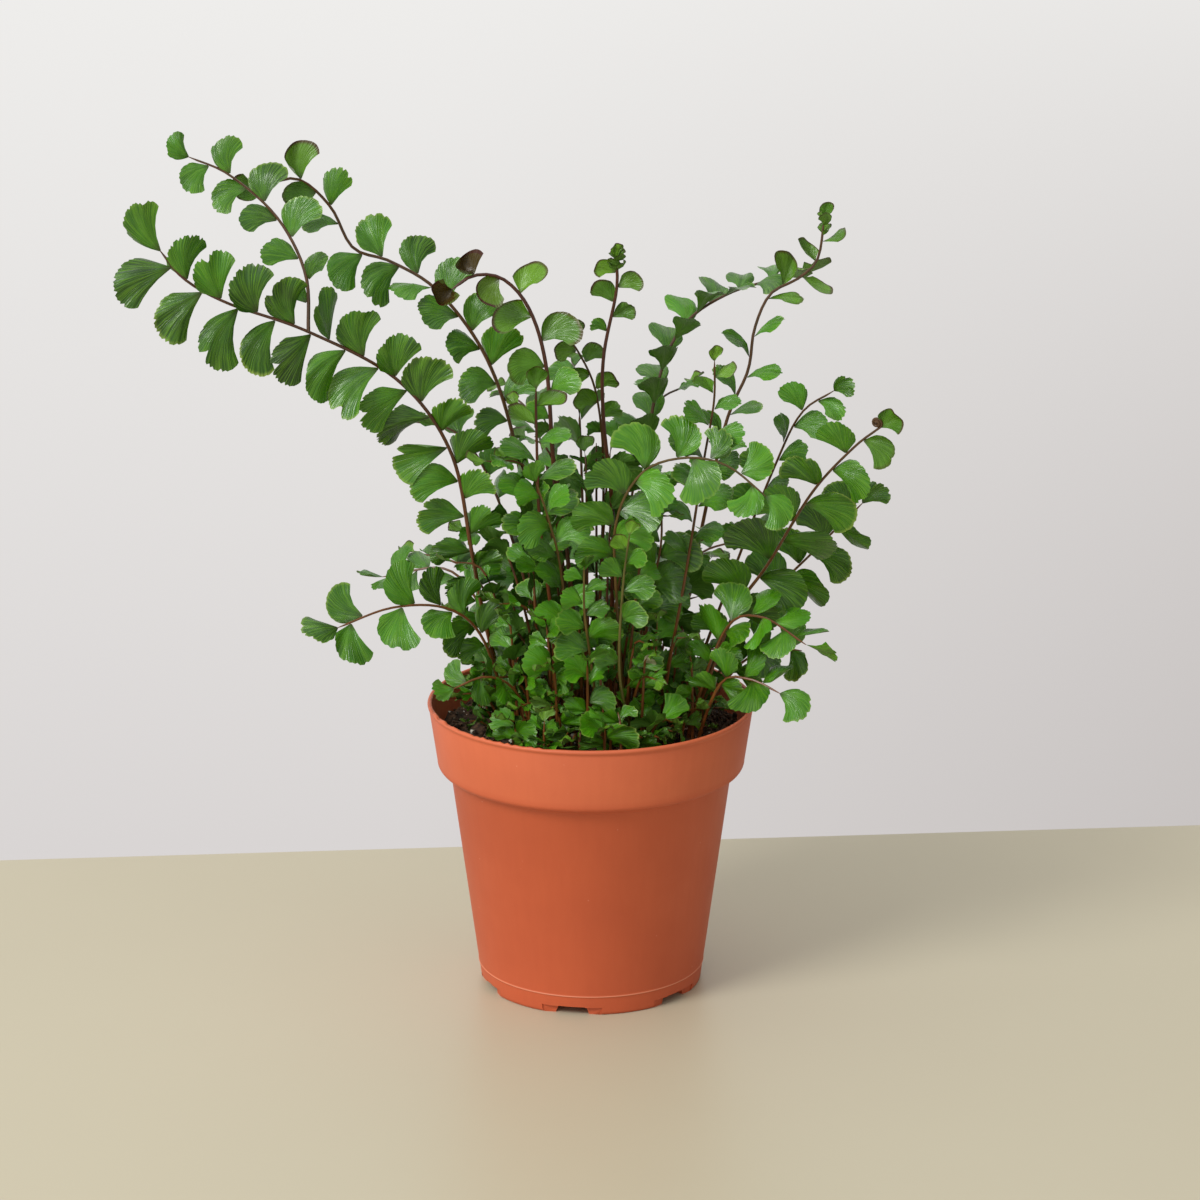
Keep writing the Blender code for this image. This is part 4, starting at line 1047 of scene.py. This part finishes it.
def rib_surface(frond, rib):
    """The rib as a tapering tube, blunt at its tip. A young tip goes on in a spiral, whose radius
    shrinks from coil to a fifth of it over COIL_TURNS, in the plane of along and right."""
    steps = max(8, round(rib.length / RIB_STEP))
    s = np.linspace(0.0, rib.length, steps)
    axes = np.array([rib.axes(k) for k in s])
    centres = np.array([rib.point(k) for k in s])
    radii = 0.5 * frond.stem * (1.0 - RIB_TAPER * s / rib.length)
    right, face = axes[:, 1], axes[:, 2]
    if frond.coil:
        a = np.linspace(0.0, 2.0 * np.pi * COIL_TURNS, COIL_POINTS + 1)[1:, None]
        along, out, front = axes[-1]
        r = frond.coil * (1.0 - 0.8 * a / a[-1])
        middle = centres[-1] - frond.coil * out
        centres = np.vstack([centres, middle + r * (np.sin(a) * along + np.cos(a) * out)])
        radii = np.append(radii, np.linspace(radii[-1], 0.5 * frond.coil, len(a)))
        right = np.vstack([right, np.cos(a) * out + np.sin(a) * along])
        face = np.vstack([face, np.tile(front, (len(a), 1))])
    radii[-1] *= 0.4
    return tube(centres, right, face, radii, RIB_SIDES)


def leathery_blade(tree, place):
    """A fern blade is thin and leathery: waxy green above, with fine veins that spread from its root,
    paler and duller below. Young ones are yellow-green, with red-brown edges. Its colour drifts over
    patches of 9 mm, and low blisters some 4 mm wide break up its shine."""
    uv = node(tree, "UVMap", {}, uv_map="blade")
    across, out = (node(tree, "SeparateXYZ", {0: uv}, k) for k in (0, 1))
    shade, age, pale = (node(tree, "Attribute", {}, "Fac", attribute_name=name) for name in TRAITS)
    under = node(tree, "Math", {0: across, 1: 1.0}, operation="GREATER_THAN")
    seed = node(tree, "Math", {0: shade, 1: 40.0}, operation="MULTIPLY")
    fan = node(tree, "CombineXYZ", {0: across, 1: out, 2: seed})
    spread = node(tree, "Mapping", {"Vector": fan, "Scale": (52.0, 1.6, 1.0)})
    veins = node(tree, "TexNoise", {"Vector": spread, "Scale": 1.0, "Detail": 1.0, "Roughness": 0.5})
    patches = node(tree, "TexNoise", {"Vector": place, "Scale": 110.0, "Detail": 2.0})
    tone = node(tree, "Math", {0: patches, 1: 0.9, 2: -0.45}, operation="MULTIPLY_ADD")
    tone = node(tree, "Math", {0: tone, 1: shade}, operation="ADD")
    tone = node(tree, "MapRange", {"Value": tone, 1: -0.1, 2: 1.1, 3: 0.0, 4: 1.0})
    green = node(tree, "Mix", {0: tone, 6: srgb("1A3C03"), 7: srgb("468A08")}, 2, data_type="RGBA")
    fine = node(tree, "MapRange", {"Value": veins, 1: 0.42, 2: 0.66, 3: 0.0, 4: 0.42})
    green = node(tree, "Mix", {0: fine, 6: green, 7: srgb("70A424")}, 2, data_type="RGBA")
    young = node(tree, "Mix", {0: tone, 6: srgb("3C6A10"), 7: srgb("6C9A26")}, 2, data_type="RGBA")
    green = node(tree, "Mix", {0: age, 6: green, 7: young}, 2, data_type="RGBA")
    # A thin pale rim, as strong as the pale trait: partly a paler margin, partly a painted edge highlight.
    edge = node(tree, "MapRange", {"Value": out, 1: 0.93, 2: 1.0, 3: 0.0, 4: 0.8})
    pale_margin_and_highlight = node(tree, "Math", {0: edge, 1: pale}, operation="MULTIPLY")
    old_edge = node(tree, "MapRange", {"Value": out, 1: 0.88, 2: 0.96, 3: 0.0, 4: 1.0})
    old_edge = node(tree, "Math", {0: old_edge, 1: age}, operation="MULTIPLY")
    blotch = node(tree, "MapRange", {"Value": patches, 1: 0.35, 2: 0.6, 3: 0.6, 4: 1.0})
    old_edge = node(tree, "Math", {0: old_edge, 1: blotch}, operation="MULTIPLY")
    browned = node(tree, "MapRange", {"Value": age, 1: 1.05, 2: 1.9, 3: 0.0, 4: 0.9})
    old_edge = node(tree, "Math", {0: old_edge, 1: browned}, operation="ADD", use_clamp=True)
    root = node(tree, "MapRange", {"Value": out, 1: 0.22, 2: 0.0, 3: 0.0, 4: 0.8})
    below = node(tree, "Math", {0: under, 1: 0.45}, operation="MULTIPLY")
    layers = ((pale_margin_and_highlight, "A9C25A"), (old_edge, "401D0E"), (root, "2A2412"), (below, "5E8434"))
    for share, colour in layers:
        green = node(tree, "Mix", {0: share, 6: green, 7: srgb(colour)}, 2, data_type="RGBA")
    rough = node(tree, "MapRange", {"Value": veins, 1: 0.3, 2: 0.7, 3: 0.38, 4: 0.2})
    rough = node(tree, "Math", {0: under, 1: 0.2, 2: rough}, operation="MULTIPLY_ADD")
    height = node(tree, "Math", {0: veins, 1: out}, operation="MULTIPLY")
    bump = node(tree, "Bump", {"Height": height, "Strength": 0.8, "Distance": 0.0006})
    blister = node(tree, "TexNoise", {"Vector": place, "Scale": 240.0, "Detail": 0.0})
    bump = node(tree, "Bump", {"Height": blister, "Strength": 0.3, "Distance": 0.001, "Normal": bump})
    return {"Base Color": green, "Roughness": rough, "Normal": bump, "Specular IOR Level": 0.5}


def wiry_rib(tree, place):
    """Fern ribs are hard and polished: near black high up, warm red-brown low down, olive where young,
    with faint marks 1.4 mm wide and 7 mm long."""
    green = node(tree, "Attribute", {}, "Fac", attribute_name="age")
    long_marks = node(tree, "Mapping", {"Vector": place, "Scale": (1.0, 1.0, 0.2)})
    marks = node(tree, "TexNoise", {"Vector": long_marks, "Scale": 700.0, "Detail": 3.0})
    dark = node(tree, "Mix", {0: marks, 6: srgb("260F08"), 7: srgb("5C2E1A")}, 2, data_type="RGBA")
    olive = node(tree, "Mix", {0: marks, 6: srgb("3A3E12"), 7: srgb("6E642A")}, 2, data_type="RGBA")
    height = node(tree, "SeparateXYZ", {0: place}, 2)
    low = node(tree, "MapRange", {"Value": height, 1: 0.19, 2: 0.10, 3: 0.0, 4: 0.9})
    warm = node(tree, "Mix", {0: marks, 6: srgb("54260F"), 7: srgb("94501F")}, 2, data_type="RGBA")
    dark = node(tree, "Mix", {0: low, 6: dark, 7: warm}, 2, data_type="RGBA")
    base = node(tree, "Mix", {0: green, 6: dark, 7: olive}, 2, data_type="RGBA")
    bump = node(tree, "Bump", {"Height": marks, "Strength": 0.3, "Distance": 0.0002})
    return {"Base Color": base, "Roughness": 0.38, "Normal": bump, "IOR": 1.5}


def bud(frond, rib, k):
    """Tiny blade number k round the rib's tip: it leans out from the rib and faces it."""
    draw = random.Random(f"{frond.name}_bud_{k}")
    s = rib.length - draw.uniform(0.0, BUD_SPREAD)
    along, right, face = rib.axes(s)
    aside = right * math.cos(GOLDEN_ANGLE * k) + face * math.sin(GOLDEN_ANGLE * k)
    out = unit(along + draw.uniform(0.3, 1.0) * aside)
    inward = unit((aside @ out) * out - aside)
    size = draw.uniform(*BUD_SIZE)
    up = np.cross(inward, out)
    return Leaflet(1.0, rib.point(s), out, up, inward, size, BUD_FAN, f"{frond.name}_bud_{k}")


def make_fern(name, grown, materials, replaces):
    """One piece of the ribs and blades of one frond or of more, with their traits on its points."""
    shapes, corners, slots = [], [], []
    values = {trait: [] for trait in TRAITS}
    for frond, rib, leaflets in grown:
        columns = SCALLOP_COLUMNS * round(TOOTHED_EDGE * frond.leaf / SCALLOP_WIDTH)
        rows = next(rows for least, rows in BLADE_ROWS if frond.leaf > least)
        rib_points, rib_faces = rib_surface(frond, rib)
        rib_uv = np.zeros((sum(len(face) for face in rib_faces), 2))
        parts = [(rib_points, rib_faces, rib_uv, RIB_SLOT)]
        traits = [{"age": frond.green, "shade": 0.5, "pale": 0.0}]
        for leaf in (*leaflets, *(bud(frond, rib, k) for k in range(frond.buds))):
            traits.append(blade_looks(leaf, frond))
            parts.append((*blade(leaf, traits[-1], columns, rows), BLADE_SLOT))
        for (points, faces, uv, slot), looks in zip(parts, traits):
            shapes.append((points, faces))
            corners.append(uv.reshape(-1, 2))
            slots += [slot] * len(faces)
            for key, value in values.items():
                value += [looks[key]] * len(points)
    piece = make_piece(name, *joined(shapes), materials, "fern", replaces)
    mesh = piece.data
    mesh.uv_layers.new(name="blade").data.foreach_set("uv", np.vstack(corners).ravel())
    mesh.polygons.foreach_set("material_index", slots)
    for key, value in values.items():
        mesh.attributes.new(key, "FLOAT", "POINT").data.foreach_set("value", value)


def make_fronds():
    """A piece for each frond of the solids, with the fork apart, and one for each ring of the filling."""
    blades = make_material("leathery fern blade", leathery_blade)
    materials = [blades, make_material("polished fern rib", wiry_rib)]
    grown = grow_all()
    for ring in FILLING:
        names = [name for name in grown if name.startswith(ring.name)]
        make_fern(f"fern_{ring.name}", [grown.pop(name) for name in names], materials, [])
    for name, one in grown.items():
        make_fern(f"fern_{name}", [one], materials, [f"frond_{one[0].on or name}"])


make_fronds()

# Old growth
# The crown of an older plant keeps the thin dry stubs of fronds that have died off, standing close
# together in the soil. A leaflet of one of them still hangs there, folded and papery.

STUBS = 60
CROWN_PLACES = ((8.0, -3.0, 5.0, 0.45), (-14.0, 3.0, 5.0, 0.3), (25.0, 2.0, 5.0, 0.25))
STUB_HEIGHT = (9.0, 27.0)
STUB_RADIUS = (0.28, 0.5)
STUB_POINTS = 6
STUB_SIDES = 6
DRIED_FAN = 36.0
DRIED_ROOT = (14.5, -21.5, 108.5)
DRIED_SIZE = 10.5


def dry_stipe(tree, place):
    """A dead stipe is dull, and orange-brown, with straw-coloured and dark streaks 9 mm long."""
    long_marks = node(tree, "Mapping", {"Vector": place, "Scale": (1.0, 1.0, 0.12)})
    streak = node(tree, "TexNoise", {"Vector": long_marks, "Scale": 900.0, "Detail": 3.0})
    share = node(tree, "MapRange", {"Value": streak, 1: 0.35, 2: 0.65, 3: 0.0, 4: 1.0})
    base = node(tree, "Mix", {0: share, 6: srgb("4A2711"), 7: srgb("A0632C")}, 2, data_type="RGBA")
    bump = node(tree, "Bump", {"Height": streak, "Strength": 0.4, "Distance": 0.0002})
    return {"Base Color": base, "Roughness": 0.7, "Normal": bump}


def papery_blade(tree, place):
    """A dead blade is thin and crisp, pale olive, with darker folds about 2 mm apart."""
    folds = node(tree, "TexNoise", {"Vector": place, "Scale": 420.0, "Detail": 3.0})
    share = node(tree, "MapRange", {"Value": folds, 1: 0.35, 2: 0.65, 3: 0.0, 4: 1.0})
    base = node(tree, "Mix", {0: share, 6: srgb("5A5F34"), 7: srgb("A3A27A")}, 2, data_type="RGBA")
    bump = node(tree, "Bump", {"Height": folds, "Strength": 0.6, "Distance": 0.0004})
    return {"Base Color": base, "Roughness": 0.75, "Normal": bump}


def make_old_growth():
    """Tapering tubes that lean a little away from the middle of their crown, with a slight wave, and
    one dead blade."""
    draw = np.random.default_rng(51)
    shapes = []
    for x, y, spread, share in CROWN_PLACES:
        for foot in draw.normal(0.0, spread, (round(STUBS * share), 2)):
            rise = np.linspace(0.0, draw.uniform(*STUB_HEIGHT), STUB_POINTS)
            lean = (0.12 * foot + draw.normal(0.0, 0.1, 2)) * 0.2
            path = np.empty((STUB_POINTS, 3))
            path[:, :2] = (x, y) + foot + rise[:, None] * lean + 0.4 * np.sin(0.4 * rise[:, None] + foot)
            path[:, 2] = height_of_soil(*path[0, :2]) - 1.0 + rise
            radii = draw.uniform(*STUB_RADIUS) * np.linspace(1.0, 0.6, STUB_POINTS)
            right, back = (np.tile(way, (STUB_POINTS, 1)) for way in ((1.0, 0.0, 0.0), (0.0, 1.0, 0.0)))
            shapes.append(tube(path, right, back, radii, STUB_SIDES))
    make_piece("old_stipes", *joined(shapes), [make_material("dry fern stipe", dry_stipe)], "fern")
    out, side = unit(np.array((0.15, -0.3, 1.0))), np.array((-1.0, 0.0, 0.15))
    face = unit(np.cross(side, out))
    up = unit(np.cross(out, face))
    leaf = Leaflet(1.0, np.array(DRIED_ROOT), out, up, face, DRIED_SIZE, DRIED_FAN, "dried")
    looks = {"scallops": 1.0, "lobes": 0.35, "lobe_count": 5.0, "phase": 1.0, "falcate": 0.2}
    looks.update({"bend": 1.1, "cup": 0.3, "wave": 0.09, "twist": 0.0, "round": 0.05, "broad": 1.0})
    points, faces, _ = blade(leaf, looks, 18, 4)
    make_piece("dried_leaflet", points, faces, [make_material("papery dead blade", papery_blade)], "fern")


make_old_growth()

# Floor, light and camera
# A pale table top of matt laminate, whose back edge passes behind the pot. A big soft light stands on
# the left in front, in a bright, pale room.

CAMERA_PLACE = (0.0029, -1.223, 0.490)
CAMERA_PITCH = 73.5
LENS = 120.0
SENSOR_WIDTH = 36.0
FLOOR_BACK = 0.125
FLOOR_TURN = math.radians(4.9)
FLOOR_SIZE = 2.5


def pale_laminate(tree, place):
    """A matt laminate is nearly even, with faint clouds of two pale tones, some 150 mm wide."""
    grain = node(tree, "TexNoise", {"Vector": place, "Scale": 6.0, "Detail": 4.0})
    base = node(tree, "Mix", {0: grain, 6: srgb("BFB79E"), 7: srgb("BAB198")}, 2, data_type="RGBA")
    return {"Base Color": base, "Roughness": 0.42}


def make_floor():
    """The table top: a rectangle whose back edge passes behind the pot."""
    c, s = math.cos(FLOOR_TURN), math.sin(FLOOR_TURN)
    corners = [(-FLOOR_SIZE, -FLOOR_SIZE), (FLOOR_SIZE, -FLOOR_SIZE), (FLOOR_SIZE, 0.0), (-FLOOR_SIZE, 0.0)]
    points = [(x * c - y * s, x * s + y * c + FLOOR_BACK, 0.0) for x, y in corners]
    mesh = bpy.data.meshes.new("floor")
    mesh.from_pydata(points, [], [(0, 1, 2, 3)])
    mesh.materials.append(make_material("pale matt laminate", pale_laminate))
    floor = bpy.data.objects.new("floor", mesh)
    bpy.context.scene.collection.objects.link(floor)


def make_room():
    """The room's light comes from all sides, and a little more from above and from the left."""
    world = bpy.data.worlds.new("pale room")
    bpy.context.scene.world = world
    world.use_nodes = True
    tree = world.node_tree
    tree.nodes.clear()
    way = node(tree, "TexCoord", {}, "Generated")
    right, up = (node(tree, "SeparateXYZ", {0: way}, k) for k in (0, 2))
    level = node(tree, "MapRange", {"Value": up, 1: -0.34, 2: -0.12, 3: 0.0, 4: 1.0})
    wall = node(tree, "Mix", {0: level, 6: srgb("D9D5D4"), 7: srgb("F0EFED")}, 2, data_type="RGBA")
    across = node(tree, "MapRange", {"Value": right, 1: -0.05, 2: 0.16, 3: 0.0, 4: 1.0})
    dimmer = node(tree, "Math", {0: level, 1: -0.8, 2: 0.9}, operation="MULTIPLY_ADD")
    across = node(tree, "Math", {0: across, 1: dimmer}, operation="MULTIPLY")
    wall = node(tree, "Mix", {0: across, 6: wall, 7: srgb("C4BFBD")}, 2, data_type="RGBA")
    beside = node(tree, "MapRange", {"Value": right, 1: 0.25, 2: 0.9, 3: 1.0, 4: 0.35})
    light = node(tree, "Background", {"Color": wall, "Strength": beside})
    node(tree, "OutputWorld", {"Surface": light})


def add_light(name, place, target, size, power):
    """A round soft light of size metres that looks from its place to its target."""
    light = bpy.data.lights.new(name, "AREA")
    light.shape = "DISK"
    light.size = size
    light.energy = power
    lamp = bpy.data.objects.new(name, light)
    bpy.context.scene.collection.objects.link(lamp)
    lamp.location = place
    way = np.array(target) - place
    lamp.rotation_euler = (math.acos(-way[2] / np.linalg.norm(way)), 0.0, math.atan2(-way[0], way[1]))


def add_camera():
    """The camera stands in front of the pot and looks down on it a little."""
    camera = bpy.data.cameras.new("camera")
    camera.lens = LENS
    camera.sensor_width = SENSOR_WIDTH
    holder = bpy.data.objects.new("camera", camera)
    bpy.context.scene.collection.objects.link(holder)
    holder.location = CAMERA_PLACE
    holder.rotation_euler = (math.radians(CAMERA_PITCH), 0.0, 0.0)
    bpy.context.scene.camera = holder


make_floor()
make_room()
add_light("softbox", (-1.3, -1.2, 1.6), (0.0, 0.0, 0.12), 0.9, 34.0)
add_camera()
bpy.context.scene.view_settings.view_transform = "Standard"
